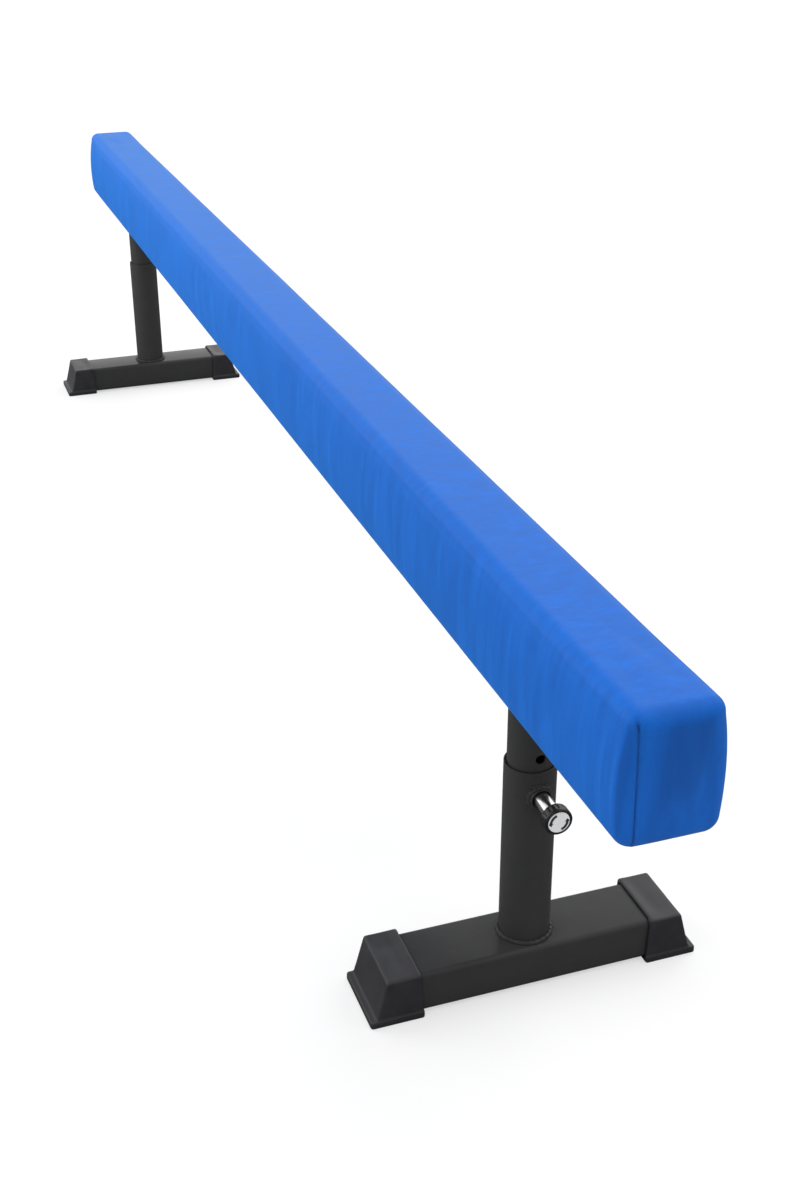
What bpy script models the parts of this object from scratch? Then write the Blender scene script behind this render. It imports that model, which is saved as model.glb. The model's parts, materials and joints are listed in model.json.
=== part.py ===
"""Low balance beam on two height-adjustable T stands.

A padded, suede-covered timber beam is bolted to two round inner tubes.  Each inner tube
telescopes in the upright of a T stand and is held by a spring-loaded, screw-in pull pin.
Metres, +Z up, origin on the floor under the middle of the beam, +X along the beam.
"""

import math

import bmesh
import bpy

# ---------------------------------------------------------------- driving dimensions (metres)
GAP = 0.0003                # air gap kept between touching pieces

# Padded beam
BEAM_LENGTH = 2.7432        # 9 ft, over the bulged ends
BEAM_TOP_WIDTH = 0.0951     # outline width where the top corners begin
BEAM_BOTTOM_WIDTH = 0.1034  # outline width where the bottom corners begin
BEAM_SIDE_BULGE = 0.0040    # how far the middle of each side stands out
BEAM_BOTTOM_Z = 0.3662      # underside at the stored height
BEAM_TOP_Z = 0.5038         # walking surface at the stored height
TOP_CORNER = 0.0164
BOTTOM_CORNER = 0.0186
END_CORNER = 0.0166
END_BULGE = 0.0030
COVER_THICKNESS = 0.0018
CORE_WIDTH = 0.074
CORE_HEIGHT = 0.113
CORE_EDGE = 0.004           # chamfer along the timber's edges
END_FOAM = 0.016
END_DOME_INSET = 0.020      # how far in from its rim the end face stands fully proud
END_STEPS = 3
SLOT_WIDTH = 0.052          # opening along the underside of the cover
SLOT_END_MARGIN = 0.040

# Stands
STAND_X = 1.0700            # distance of each upright from the middle of the beam
BASE_WIDTH = 0.0762         # 3 x 2 in rectangular tube, lying across the beam
BASE_HEIGHT = 0.0508
BASE_WALL = 0.0020
BASE_CORNER = 0.0060
BASE_LENGTH = 0.3380
FLOOR_CLEARANCE = 0.0028    # the rubber sole under the base tube
OUTER_RADIUS = 0.0571 / 2   # 2 1/4 in tube
OUTER_WALL = 0.00165
OUTER_RIM_Z = 0.2745
INNER_RADIUS = 0.0508 / 2   # 2 in tube
INNER_WALL = 0.0020
INNER_BOTTOM_Z = 0.1120
SLEEVE_BOTTOM_Z = 0.1950
PIN_Z = 0.2440
PIN_HOLE_RADIUS = 0.0055
BARREL_HOLE_RADIUS = 0.0065 # the wider hole through the upright and its sleeve
HOLE_PITCH = 0.0452         # between height settings
HOLE_STEPS = (-2, -1, 0, 1)

# Rubber feet
FOOT_TOP_Z = 0.0566
FOOT_TOP_HALF_WIDTH = 0.0427
FOOT_SOLE_HALF_WIDTH = 0.0452
FOOT_INNER_TOP_Y = 0.1357
FOOT_INNER_SOLE_Y = 0.1326
FOOT_OUTER_TOP_Y = 0.1744
FOOT_SLOPE_END_Y = 0.1872
FOOT_LIP_Y = 0.1944
FOOT_LIP_HEIGHT = 0.0085
FOOT_LIP_EDGE = 0.0010      # chamfer along the lip
FOOT_EDGE = 0.0035          # rounding along the boot's upper edges
FOOT_POCKET_START_Y = 0.1000

# Pull pin, as distances out from the upright's axis
NUT_RADIUS = 0.0120
NUT_FACE = 0.0322
BARREL_RADIUS = 0.0095
BARREL_START = 0.0306
BARREL_END = 0.0620
CAVITY_START = 0.0320       # the barrel's hollow, which holds the spring and the plunger's collar
CAVITY_END = 0.0588
CAVITY_RADIUS = 0.0070
PLUNGER_TIP = 0.0259
PLUNGER_RADIUS = 0.0049
PLUNGER_END = 0.0720
COLLAR_START = 0.0393
COLLAR_END = 0.0420
COLLAR_RADIUS = 0.0066
SHAFT_RADIUS = 0.0030
SPRING_RADIUS = 0.0056
SPRING_WIRE = 0.0005
SPRING_TURNS = 4
PIN_CHAMFER = 0.0008
KNOB_START = 0.0628
KNOB_END = 0.0758
KNOB_RADIUS = 0.0155
KNOB_HOLLOW_END = 0.0690
KNOB_BACK_EDGE = 0.0015
KNOB_FACE_EDGE = 0.0012
KNOB_FACE_SLOPE = 0.0022
KNOB_FLUTES = 12
FLUTE_DEPTH = 0.035         # half depth, as a share of the knob's radius
LABEL_RADIUS = 0.0120
LABEL_THICKNESS = 0.0008

# Welds, by the leg of the fillet
PLATE_WELD = 0.0035
UPRIGHT_WELD = 0.0042
NUT_WELD = 0.0030

# Plate and bolts under the beam
PLATE_LENGTH = 0.150
PLATE_WIDTH = 0.076
PLATE_THICKNESS = 0.005
PLATE_CORNER = 0.008
BOLT_X = 0.055
BOLT_Y = 0.0205
BOLT_RADIUS = 0.0040
BOLT_REACH = 0.0340         # from the plate's underside to the bolt's tip
INSERT_RADIUS = 0.0060
INSERT_LENGTH = 0.0200
HEAD_FLATS = 0.0065         # bolt head, from its axis to a flat
HEAD_HEIGHT = 0.0075
FLANGE_RADIUS = 0.0085
FLANGE_EDGE = 0.0012
FLANGE_HEIGHT = 0.0022
BOLT_CHAMFER = 0.0010
DRILL_MARGIN = 0.01         # how far a drill runs past the plate or cloth it goes through

TUBE_SIDES = 24
SMALL_SIDES = 12
HEX_SIDES = 12


# ---------------------------------------------------------------- helpers
def clear_scene():
    for item in list(bpy.data.objects):
        bpy.data.objects.remove(item, do_unlink=True)


def make_material(name, colour, roughness, metallic=0.0):
    material = bpy.data.materials.new(name)
    material.use_nodes = True
    shader = material.node_tree.nodes["Principled BSDF"]
    shader.inputs["Base Color"].default_value = (*colour, 1.0)
    shader.inputs["Roughness"].default_value = roughness
    shader.inputs["Metallic"].default_value = metallic
    material.diffuse_color = (*colour, 1.0)
    return material


def add_object(name, bm, material, parent=None, smooth=True):
    """Put a finished bmesh into the scene with its faces pointing outwards."""
    bmesh.ops.recalc_face_normals(bm, faces=bm.faces)
    mesh = bpy.data.meshes.new(name)
    bm.to_mesh(mesh)
    bm.free()
    if smooth:
        mesh.shade_smooth()
        mesh.set_sharp_from_angle(angle=math.radians(35))
    item = bpy.data.objects.new(name, mesh)
    bpy.context.scene.collection.objects.link(item)
    if material is not None:
        mesh.materials.append(material)
    item.parent = parent
    return item


def add_empty(name, location, turn=0.0, parent=None):
    item = bpy.data.objects.new(name, None)
    bpy.context.scene.collection.objects.link(item)
    item.location = location
    item.rotation_euler = (0, 0, turn)
    item.parent = parent
    return item


def cut(item, name, bm):
    """Take a cutter's volume out of an object with a Boolean modifier."""
    cutter = add_object(name, bm, None, parent=item.parent, smooth=False)
    cutter.location = item.location
    cutter.rotation_euler = item.rotation_euler
    cutter.hide_render = True
    cutter.display_type = "WIRE"
    modifier = item.modifiers.new(name, "BOOLEAN")
    modifier.operation = "DIFFERENCE"
    modifier.solver = "EXACT"
    modifier.object = cutter


def bridge_rings(bm, rings, closed_loop):
    """Join neighbouring vertex rings with quads, or triangles where a ring is one point."""
    pairs = list(zip(rings, rings[1:]))
    if closed_loop:
        pairs.append((rings[-1], rings[0]))
    for lower, upper in pairs:
        count = max(len(lower), len(upper))
        for i in range(count):
            j = (i + 1) % count
            corners = [lower[i % len(lower)], lower[j % len(lower)]]
            corners += [upper[j % len(upper)], upper[i % len(upper)]]
            distinct = list(dict.fromkeys(corners))
            bm.faces.new(distinct)


def round_shape(radius, angle):
    return radius


def hex_shape(radius, angle):
    """Distance to the side of a hexagon whose flats are this radius from the middle."""
    off_flat = (angle + math.pi / 6) % (math.pi / 3) - math.pi / 6
    return radius / math.cos(off_flat)


def turned(profile, sides):
    """A turned solid about Z from (radius, height[, shape]) points.

    A profile that starts and ends on the axis is solid, any other is a closed ring.
    """
    bm = bmesh.new()
    rings = []
    for radius, height, *rest in profile:
        shape = rest[0] if rest else round_shape
        if radius == 0:
            rings.append([bm.verts.new((0, 0, height))])
            continue
        ring = []
        for i in range(sides):
            angle = 2 * math.pi * i / sides
            reach = shape(radius, angle)
            ring.append(bm.verts.new((reach * math.cos(angle), reach * math.sin(angle), height)))
        rings.append(ring)
    bridge_rings(bm, rings, closed_loop=profile[0][0] > 0)
    return bm


def tube_profile(outer, wall, low, high):
    return [(outer - wall, low), (outer, low), (outer, high), (outer - wall, high)]


def block(size, centre):
    bm = bmesh.new()
    bmesh.ops.create_cube(bm, size=1.0)
    bmesh.ops.scale(bm, vec=size, verts=bm.verts)
    bmesh.ops.translate(bm, vec=centre, verts=bm.verts)
    return bm


def rod(radius, low, high, sides, centre=(0.0, 0.0)):
    """A plain round rod along Z, used for shafts and for drilling."""
    bm = turned([(0, low), (radius, low), (radius, high), (0, high)], sides)
    bmesh.ops.translate(bm, vec=(*centre, 0), verts=bm.verts)
    return bm


def rounded_rectangle(width, height, radius, steps=3):
    """Outline points of a rectangle with round corners, centred on the origin."""
    points = []
    for quarter, (sx, sy) in enumerate(((1, 1), (-1, 1), (-1, -1), (1, -1))):
        for i in range(steps + 1):
            angle = math.pi / 2 * (quarter + i / steps)
            x = sx * (width / 2 - radius) + radius * math.cos(angle)
            y = sy * (height / 2 - radius) + radius * math.sin(angle)
            points.append((x, y))
    return points


def loft(loops):
    """Join equal outlines, given as 3-D points, and close both ends."""
    bm = bmesh.new()
    rings = [[bm.verts.new(point) for point in loop] for loop in loops]
    bridge_rings(bm, rings, closed_loop=False)
    bm.faces.new(rings[0])
    bm.faces.new(rings[-1])
    return bm


# ---------------------------------------------------------------- padded beam
def beam_outline(inset, corner_steps=3, side_steps=4):
    """Cross-section of the beam as (y, z) points, moved inwards by the inset."""
    top_half = BEAM_TOP_WIDTH / 2 - inset
    bottom_half = BEAM_BOTTOM_WIDTH / 2 - inset
    low = BEAM_BOTTOM_Z + inset
    high = BEAM_TOP_Z - inset
    top_r = max(TOP_CORNER - inset, 0.003)
    bottom_r = max(BOTTOM_CORNER - inset, 0.003)
    half = []
    for i in range(corner_steps + 1):
        angle = -math.pi / 2 * (1 - i / corner_steps)
        y = bottom_half - bottom_r + bottom_r * math.cos(angle)
        z = low + bottom_r + bottom_r * math.sin(angle)
        half.append((y, z))
    for i in range(1, side_steps):
        t = i / side_steps
        bulge = 4 * t * (1 - t) * BEAM_SIDE_BULGE
        y = bottom_half * (1 - t) + top_half * t + bulge
        z = (low + bottom_r) * (1 - t) + (high - top_r) * t
        half.append((y, z))
    for i in range(corner_steps + 1):
        angle = math.pi / 2 * i / corner_steps
        y = top_half - top_r + top_r * math.cos(angle)
        z = high - top_r + top_r * math.sin(angle)
        half.append((y, z))
    mirrored = [(-y, z) for y, z in reversed(half)]
    return half + mirrored


def end_stations(inset):
    """(x, extra inset) from the tip of the bulged near end back to the straight run."""
    end = BEAM_LENGTH / 2 - inset
    corner = max(END_CORNER - inset, 0.004)
    stations = [(end, corner + END_DOME_INSET)]
    for i in range(END_STEPS + 1):
        angle = math.pi / 2 * i / END_STEPS
        x = end - END_BULGE - corner * (1 - math.cos(angle))
        stations.append((x, corner * (1 - math.sin(angle))))
    return stations


def padded_loft(inset, stations):
    """Join the beam's outline, moved inwards by the inset, along (x, extra inset) stations."""
    return loft([[(x, y, z) for y, z in beam_outline(inset + extra)] for x, extra in stations])


def beam_body(inset):
    """The whole padded shape, moved inwards by the inset, with round bulged ends."""
    near = end_stations(inset)
    far = [(-x, extra) for x, extra in near]
    return padded_loft(inset, far + near[::-1])


def u_channel(inset):
    """Outline of the foam round the timber, open underneath, as (y, z) points."""
    core_half = CORE_WIDTH / 2 + GAP
    floor = core_bottom() - GAP
    outer = [(y, max(z, floor)) for y, z in beam_outline(inset) if z > floor - BOTTOM_CORNER]
    core_top = core_bottom() + CORE_HEIGHT + GAP
    outer = [point for point in outer if abs(point[0]) > core_half or point[1] > core_top]
    first, last = outer[0], outer[-1]
    inner = [(-core_half, last[1]), (-core_half, core_top)]
    inner += [(core_half, core_top), (core_half, first[1])]
    return outer + inner


def core_bottom():
    return BEAM_BOTTOM_Z + COVER_THICKNESS + GAP


def core_half_length():
    return BEAM_LENGTH / 2 - END_BULGE - COVER_THICKNESS - END_FOAM - 2 * GAP


def bolt_places():
    """The four bolt positions of one plate, measured from the upright's axis."""
    return [(sx * BOLT_X, sy * BOLT_Y) for sx in (-1, 1) for sy in (-1, 1)]


def drill_bolt_holes(item, radius, low, high):
    """Drill both plates' bolt holes through a piece of the beam."""
    for side in (-1, 1):
        for number, (x, y) in enumerate(bolt_places()):
            hole = rod(radius, low, high, SMALL_SIDES, centre=(side * STAND_X + x, y))
            cut(item, f"bolt_hole_{number}", hole)


def make_core(materials):
    half = core_half_length()
    middle = core_bottom() + CORE_HEIGHT / 2
    outline = rounded_rectangle(CORE_WIDTH, CORE_HEIGHT, CORE_EDGE, steps=1)
    loops = [[(x, y, middle + z) for y, z in outline] for x in (-half, half)]
    core = add_object("timber_core", loft(loops), materials["timber"], smooth=False)
    low = core_bottom() - DRILL_MARGIN
    drill_bolt_holes(core, INSERT_RADIUS + GAP, low, core_bottom() + BOLT_REACH)


def make_foam(materials):
    half = core_half_length()
    inset = COVER_THICKNESS + GAP
    outline = u_channel(inset)
    loops = [[(x, y, z) for y, z in outline] for x in (-half, half)]
    add_object("foam_wrap", loft(loops), materials["foam"], smooth=False)
    for name, side in (("near_end_foam", 1), ("far_end_foam", -1)):
        stations = end_stations(inset) + [(half + GAP, 0)]
        stations = [(side * x, extra) for x, extra in stations]
        add_object(name, padded_loft(inset, stations), materials["foam"], smooth=False)


def make_cover(materials):
    cover = add_object("suede_cover", beam_body(0), materials["suede"])
    cut(cover, "cover_cavity", beam_body(COVER_THICKNESS))
    slot_length = BEAM_LENGTH - 2 * SLOT_END_MARGIN
    slot_size = (slot_length, SLOT_WIDTH, 4 * COVER_THICKNESS)
    cut(cover, "cover_slot", block(slot_size, (0, 0, BEAM_BOTTOM_Z)))

    strip_size = (slot_length - 2 * GAP, SLOT_WIDTH - 2 * GAP, COVER_THICKNESS)
    strip_centre = (0, 0, BEAM_BOTTOM_Z + COVER_THICKNESS / 2)
    bm = block(strip_size, strip_centre)
    strip = add_object("underside_strip", bm, materials["strip"], smooth=False)
    low, high = BEAM_BOTTOM_Z - DRILL_MARGIN, BEAM_BOTTOM_Z + DRILL_MARGIN
    drill_bolt_holes(strip, BOLT_RADIUS + 2 * GAP, low, high)


# ---------------------------------------------------------------- telescoping leg of the beam
def plate_top():
    return BEAM_BOTTOM_Z - GAP


def plate_bottom():
    return plate_top() - PLATE_THICKNESS


def make_inner_tube(prefix, parent, materials):
    """The sliding tube, with a pull-pin hole for each height setting on its outward side."""
    top = plate_bottom() - GAP
    bm = turned(tube_profile(INNER_RADIUS, INNER_WALL, INNER_BOTTOM_Z, top), TUBE_SIDES)
    tube = add_object(f"{prefix}_inner_tube", bm, materials["paint"], parent)
    for step in HOLE_STEPS:
        drill = outward_drill(PIN_HOLE_RADIUS, INNER_RADIUS, PIN_Z + step * HOLE_PITCH)
        cut(tube, f"{prefix}_height_hole", drill)


def outward_drill(radius, wall, height):
    """A drill along +X at a height, for one wall of a tube that stands this far out."""
    bm = rod(radius, wall / 2, 2 * wall, SMALL_SIDES)
    turn_to_pin_axis(bm)
    bmesh.ops.translate(bm, vec=(0, 0, height), verts=bm.verts)
    return bm


def turn_to_pin_axis(bm):
    """Swing a shape made along +Z so that it points along +X."""
    for vertex in bm.verts:
        x, y, z = vertex.co
        vertex.co = (z, y, -x)


def weld_ring(radius, size, lumps, sides, up=1):
    """A fillet weld round a tube: square to the tube and the plate, with a rippled face."""
    bm = bmesh.new()
    arc_steps = 3
    rings = []
    for i in range(sides):
        angle = 2 * math.pi * i / sides
        leg = size * (1 + 0.16 * math.sin(lumps * angle) + 0.10 * math.sin(2.3 * lumps * angle + 1))
        section = [(radius, 0)]
        for k in range(arc_steps + 1):
            swing = math.pi / 2 * k / arc_steps
            section.append((radius + leg * math.cos(swing) ** 1.2, leg * math.sin(swing) ** 1.2))
        section = [(r, up * h) for r, h in section]
        rings.append([bm.verts.new((r * math.cos(angle), r * math.sin(angle), h)) for r, h in section])
    bridge_rings(bm, rings, closed_loop=True)
    return bm


def make_plate(prefix, parent, materials):
    """Mounting plate welded to the inner tube's top, with its four bolts and inserts."""
    outline = rounded_rectangle(PLATE_LENGTH, PLATE_WIDTH, PLATE_CORNER)
    loops = [[(x, y, z) for x, y in outline] for z in (plate_bottom(), plate_top())]
    plate = add_object(f"{prefix}_mounting_plate", loft(loops), materials["paint"], parent)
    low, high = plate_bottom() - DRILL_MARGIN, plate_top() + DRILL_MARGIN
    for number, centre in enumerate(bolt_places()):
        hole = rod(BOLT_RADIUS + GAP, low, high, SMALL_SIDES, centre)
        cut(plate, f"{prefix}_plate_hole_{number}", hole)

    bead = weld_ring(INNER_RADIUS + GAP, PLATE_WELD, 7, TUBE_SIDES, up=-1)
    bmesh.ops.translate(bead, vec=(0, 0, plate_bottom() - GAP), verts=bead.verts)
    add_object(f"{prefix}_plate_weld", bead, materials["paint"], parent)

    for number, (x, y) in enumerate(bolt_places(), start=1):
        name = f"{prefix}_plate_bolt_{number}"
        bolt = add_object(name, flange_bolt(), materials["zinc"], parent)
        bolt.location = (x, y, plate_bottom() - GAP)
        name = f"{prefix}_threaded_insert_{number}"
        insert = add_object(name, threaded_insert(), materials["zinc"], parent)
        insert.location = (x, y, core_bottom() + GAP)


def flange_bolt():
    """A hexagon bolt with a flange, head down, its flange's seat at Z = 0."""
    profile = [
        (0, -HEAD_HEIGHT),
        (HEAD_FLATS - BOLT_CHAMFER / 2, -HEAD_HEIGHT, hex_shape),
        (HEAD_FLATS, -HEAD_HEIGHT + BOLT_CHAMFER / 2, hex_shape),
        (HEAD_FLATS, -FLANGE_HEIGHT, hex_shape),
        (FLANGE_RADIUS, -FLANGE_EDGE),
        (FLANGE_RADIUS, 0),
        (BOLT_RADIUS, 0),
        (BOLT_RADIUS, BOLT_REACH - BOLT_CHAMFER),
        (BOLT_RADIUS - BOLT_CHAMFER, BOLT_REACH),
        (0, BOLT_REACH),
    ]
    return turned(profile, HEX_SIDES)


def threaded_insert():
    wall = INSERT_RADIUS - BOLT_RADIUS - GAP
    return turned(tube_profile(INSERT_RADIUS, wall, 0, INSERT_LENGTH), SMALL_SIDES)


# ---------------------------------------------------------------- T stand
def base_top():
    return FLOOR_CLEARANCE + BASE_HEIGHT


def make_base_tube(prefix, parent, materials):
    middle = FLOOR_CLEARANCE + BASE_HEIGHT / 2
    outer = rounded_rectangle(BASE_WIDTH, BASE_HEIGHT, BASE_CORNER)
    inner_width = BASE_WIDTH - 2 * BASE_WALL
    inner_height = BASE_HEIGHT - 2 * BASE_WALL
    inner = rounded_rectangle(inner_width, inner_height, BASE_CORNER - BASE_WALL)
    half = BASE_LENGTH / 2
    runs = ((inner, -half), (outer, -half), (outer, half), (inner, half))
    bm = bmesh.new()
    rings = [[bm.verts.new((x, y, middle + z)) for x, z in outline] for outline, y in runs]
    bridge_rings(bm, rings, closed_loop=True)
    add_object(f"{prefix}_base_tube", bm, materials["paint"], parent)


def make_foot(name, turn, parent, materials):
    """A rubber boot pushed over one end of the base tube, with a lip along its outer edge."""
    side = [
        (FOOT_INNER_SOLE_Y, 0),
        (FOOT_LIP_Y - FOOT_LIP_EDGE, 0),
        (FOOT_LIP_Y, FOOT_LIP_EDGE),
        (FOOT_LIP_Y, FOOT_LIP_HEIGHT - FOOT_LIP_EDGE),
        (FOOT_LIP_Y - FOOT_LIP_EDGE, FOOT_LIP_HEIGHT),
        (FOOT_SLOPE_END_Y, FOOT_LIP_HEIGHT),
        (FOOT_OUTER_TOP_Y, FOOT_TOP_Z),
        (FOOT_INNER_TOP_Y, FOOT_TOP_Z),
    ]
    slope = (FOOT_SOLE_HALF_WIDTH - FOOT_TOP_HALF_WIDTH) / FOOT_TOP_Z
    loops = []
    for sign in (-1, 1):
        loops.append([(sign * (FOOT_SOLE_HALF_WIDTH - slope * z), y, z) for y, z in side])
    bm = loft(loops)
    rim = [edge for edge in bm.edges if is_boot_rim(edge)]
    bmesh.ops.bevel(bm, geom=rim, offset=FOOT_EDGE, segments=3, profile=0.5, affect="EDGES")
    foot = add_object(name, bm, materials["rubber"], parent)
    foot.rotation_euler = (0, 0, turn)

    pocket_end = BASE_LENGTH / 2 + GAP
    outline = rounded_rectangle(BASE_WIDTH + 2 * GAP, BASE_HEIGHT + 2 * GAP, BASE_CORNER + GAP)
    middle = FLOOR_CLEARANCE + BASE_HEIGHT / 2
    runs = (FOOT_POCKET_START_Y, pocket_end)
    pocket = loft([[(x, y, middle + z) for x, z in outline] for y in runs])
    cut(foot, f"{name}_pocket", pocket)


def is_boot_rim(edge):
    """An edge of a boot's top, sides or slope that gets rounded: not its sole, lip or mouth."""
    heights = [vertex.co.z for vertex in edge.verts]
    reaches = [vertex.co.y for vertex in edge.verts]
    above_lip = min(heights) > FOOT_LIP_HEIGHT - GAP
    meets_top = max(heights) > FOOT_TOP_Z - GAP
    past_mouth = max(reaches) > FOOT_INNER_TOP_Y + GAP
    return above_lip and meets_top and past_mouth


def make_upright(prefix, parent, materials):
    bottom = base_top() + GAP
    bm = turned(tube_profile(OUTER_RADIUS, OUTER_WALL, bottom, OUTER_RIM_Z), TUBE_SIDES)
    upright = add_object(f"{prefix}_upright", bm, materials["paint"], parent)
    drill = outward_drill(BARREL_HOLE_RADIUS, OUTER_RADIUS, PIN_Z)
    cut(upright, f"{prefix}_pin_hole", drill)

    bead = weld_ring(OUTER_RADIUS + GAP, UPRIGHT_WELD, 11, 2 * TUBE_SIDES)
    bmesh.ops.translate(bead, vec=(0, 0, bottom), verts=bead.verts)
    add_object(f"{prefix}_upright_weld", bead, materials["paint"], parent)

    outer = OUTER_RADIUS - OUTER_WALL - GAP
    wall = outer - INNER_RADIUS - GAP
    top = OUTER_RIM_Z - OUTER_WALL
    bm = turned(tube_profile(outer, wall, SLEEVE_BOTTOM_Z, top), TUBE_SIDES)
    sleeve = add_object(f"{prefix}_guide_sleeve", bm, materials["plastic"], parent)
    drill = outward_drill(BARREL_HOLE_RADIUS, OUTER_RADIUS, PIN_Z)
    cut(sleeve, f"{prefix}_sleeve_hole", drill)


# ---------------------------------------------------------------- pull pin
def tube_surface(distance, angle):
    """Height above the upright's axis of a point this far round the pin's axis."""
    across = distance * math.sin(angle)
    return math.sqrt((OUTER_RADIUS + GAP) ** 2 - across ** 2)


def saddle_ring(section, sides):
    """A ring round the pin's axis whose low points follow the upright's round surface.

    The section is a list of (radius, height, follows_tube) points.
    """
    bm = bmesh.new()
    rings = []
    for i in range(sides):
        angle = 2 * math.pi * i / sides
        ring = []
        for radius, height, follows_tube in section:
            base = tube_surface(radius, angle) if follows_tube else 0
            x, y = radius * math.cos(angle), radius * math.sin(angle)
            ring.append(bm.verts.new((x, y, base + height)))
        rings.append(ring)
    bridge_rings(bm, rings, closed_loop=True)
    return bm


def add_pin_piece(name, bm, material, parent):
    turn_to_pin_axis(bm)
    piece = add_object(name, bm, material, parent)
    piece.location = (0, 0, PIN_Z)


def make_pin_nut(prefix, parent, materials):
    bore = BARREL_RADIUS + GAP
    nut = [
        (bore, 0, True),
        (NUT_RADIUS, 0, True),
        (NUT_RADIUS, NUT_FACE - PIN_CHAMFER, False),
        (NUT_RADIUS - PIN_CHAMFER, NUT_FACE, False),
        (bore, NUT_FACE, False),
    ]
    add_pin_piece(f"{prefix}_pin_nut", saddle_ring(nut, TUBE_SIDES), materials["paint"], parent)

    inner = NUT_RADIUS + GAP
    arc_steps = 3
    bead = [(inner, 0, True)]
    for k in range(arc_steps + 1):
        swing = math.pi / 2 * k / arc_steps
        bead.append((inner + NUT_WELD * math.cos(swing), NUT_WELD * math.sin(swing), True))
    bm = saddle_ring(bead, TUBE_SIDES)
    add_pin_piece(f"{prefix}_pin_nut_weld", bm, materials["paint"], parent)


def make_pin_barrel(prefix, parent, materials):
    """Screwed sleeve that carries the plunger and its spring."""
    nose_bore = PLUNGER_RADIUS + GAP
    tail_bore = SHAFT_RADIUS + GAP
    profile = [
        (nose_bore, BARREL_START),
        (BARREL_RADIUS - PIN_CHAMFER, BARREL_START),
        (BARREL_RADIUS, BARREL_START + PIN_CHAMFER),
        (BARREL_RADIUS, BARREL_END - PIN_CHAMFER),
        (BARREL_RADIUS - PIN_CHAMFER, BARREL_END),
        (tail_bore, BARREL_END),
        (tail_bore, CAVITY_END),
        (CAVITY_RADIUS, CAVITY_END),
        (CAVITY_RADIUS, CAVITY_START),
        (nose_bore, CAVITY_START),
    ]
    barrel = turned(profile, TUBE_SIDES)
    add_pin_piece(f"{prefix}_pin_barrel", barrel, materials["chrome"], parent)
    spring = coil(SPRING_RADIUS, SPRING_WIRE, COLLAR_END + GAP, CAVITY_END - GAP, SPRING_TURNS)
    add_pin_piece(f"{prefix}_pin_spring", spring, materials["zinc"], parent)


def coil(radius, wire, low, high, turns):
    """A round-wire compression spring between two heights."""
    steps_per_turn = 8
    wire_sides = 4
    bm = bmesh.new()
    rings = []
    for i in range(turns * steps_per_turn + 1):
        t = i / (turns * steps_per_turn)
        angle = 2 * math.pi * turns * t
        height = low + wire + (high - low - 2 * wire) * t
        ring = []
        for k in range(wire_sides):
            swing = 2 * math.pi * k / wire_sides
            reach = radius + wire * math.cos(swing)
            ring.append(bm.verts.new((
                reach * math.cos(angle),
                reach * math.sin(angle),
                height + wire * math.sin(swing),
            )))
        rings.append(ring)
    bridge_rings(bm, rings, closed_loop=False)
    bm.faces.new(rings[0])
    bm.faces.new(rings[-1])
    return bm


def make_pin_plunger(prefix, parent, materials):
    profile = [
        (0, PLUNGER_TIP),
        (PLUNGER_RADIUS - PIN_CHAMFER, PLUNGER_TIP),
        (PLUNGER_RADIUS, PLUNGER_TIP + PIN_CHAMFER),
        (PLUNGER_RADIUS, COLLAR_START),
        (COLLAR_RADIUS, COLLAR_START),
        (COLLAR_RADIUS, COLLAR_END),
        (SHAFT_RADIUS, COLLAR_END),
        (SHAFT_RADIUS, PLUNGER_END),
        (0, PLUNGER_END),
    ]
    plunger = turned(profile, SMALL_SIDES)
    add_pin_piece(f"{prefix}_pin_plunger", plunger, materials["chrome"], parent)


def fluted_shape(radius, angle):
    """Grip section with shallow flutes round it."""
    return radius * (1 - FLUTE_DEPTH * (1 - math.cos(KNOB_FLUTES * angle)))


def make_pin_knob(prefix, parent, materials):
    """Cap that is gripped to turn and pull the pin, hollow at the back to clear the barrel."""
    hollow = BARREL_RADIUS + 2 * GAP
    shaft_bore = SHAFT_RADIUS + GAP
    bore_end = PLUNGER_END + GAP
    seat = KNOB_END - LABEL_THICKNESS
    profile = [
        (0, bore_end),
        (shaft_bore, bore_end),
        (shaft_bore, KNOB_HOLLOW_END),
        (hollow, KNOB_HOLLOW_END),
        (hollow, KNOB_START),
        (KNOB_RADIUS - KNOB_BACK_EDGE, KNOB_START),
        (KNOB_RADIUS, KNOB_START + KNOB_BACK_EDGE, fluted_shape),
        (KNOB_RADIUS, KNOB_END - KNOB_FACE_SLOPE, fluted_shape),
        (KNOB_RADIUS - KNOB_FACE_EDGE, KNOB_END),
        (LABEL_RADIUS + GAP, KNOB_END),
        (LABEL_RADIUS + GAP, seat - GAP),
        (0, seat - GAP),
    ]
    knob = turned(profile, TUBE_SIDES)
    add_pin_piece(f"{prefix}_pin_knob", knob, materials["plastic"], parent)
    label = rod(LABEL_RADIUS, seat, KNOB_END, TUBE_SIDES)
    add_pin_piece(f"{prefix}_knob_label", label, materials["label"], parent)


# ---------------------------------------------------------------- assembly
def make_materials():
    return {
        "suede": make_material("suede", (0.030, 0.160, 0.620), 0.90),
        "strip": make_material("strip", (0.020, 0.020, 0.022), 0.80),
        "foam": make_material("foam", (0.300, 0.300, 0.320), 0.95),
        "timber": make_material("timber", (0.520, 0.360, 0.200), 0.70),
        "paint": make_material("black_paint", (0.030, 0.030, 0.031), 0.38),
        "rubber": make_material("rubber", (0.028, 0.028, 0.031), 0.60),
        "plastic": make_material("plastic", (0.020, 0.019, 0.020), 0.40),
        "chrome": make_material("chrome", (0.780, 0.770, 0.760), 0.15, 1.0),
        "zinc": make_material("zinc", (0.600, 0.600, 0.580), 0.35, 1.0),
        "label": make_material("label", (0.760, 0.790, 0.820), 0.40),
    }


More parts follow.
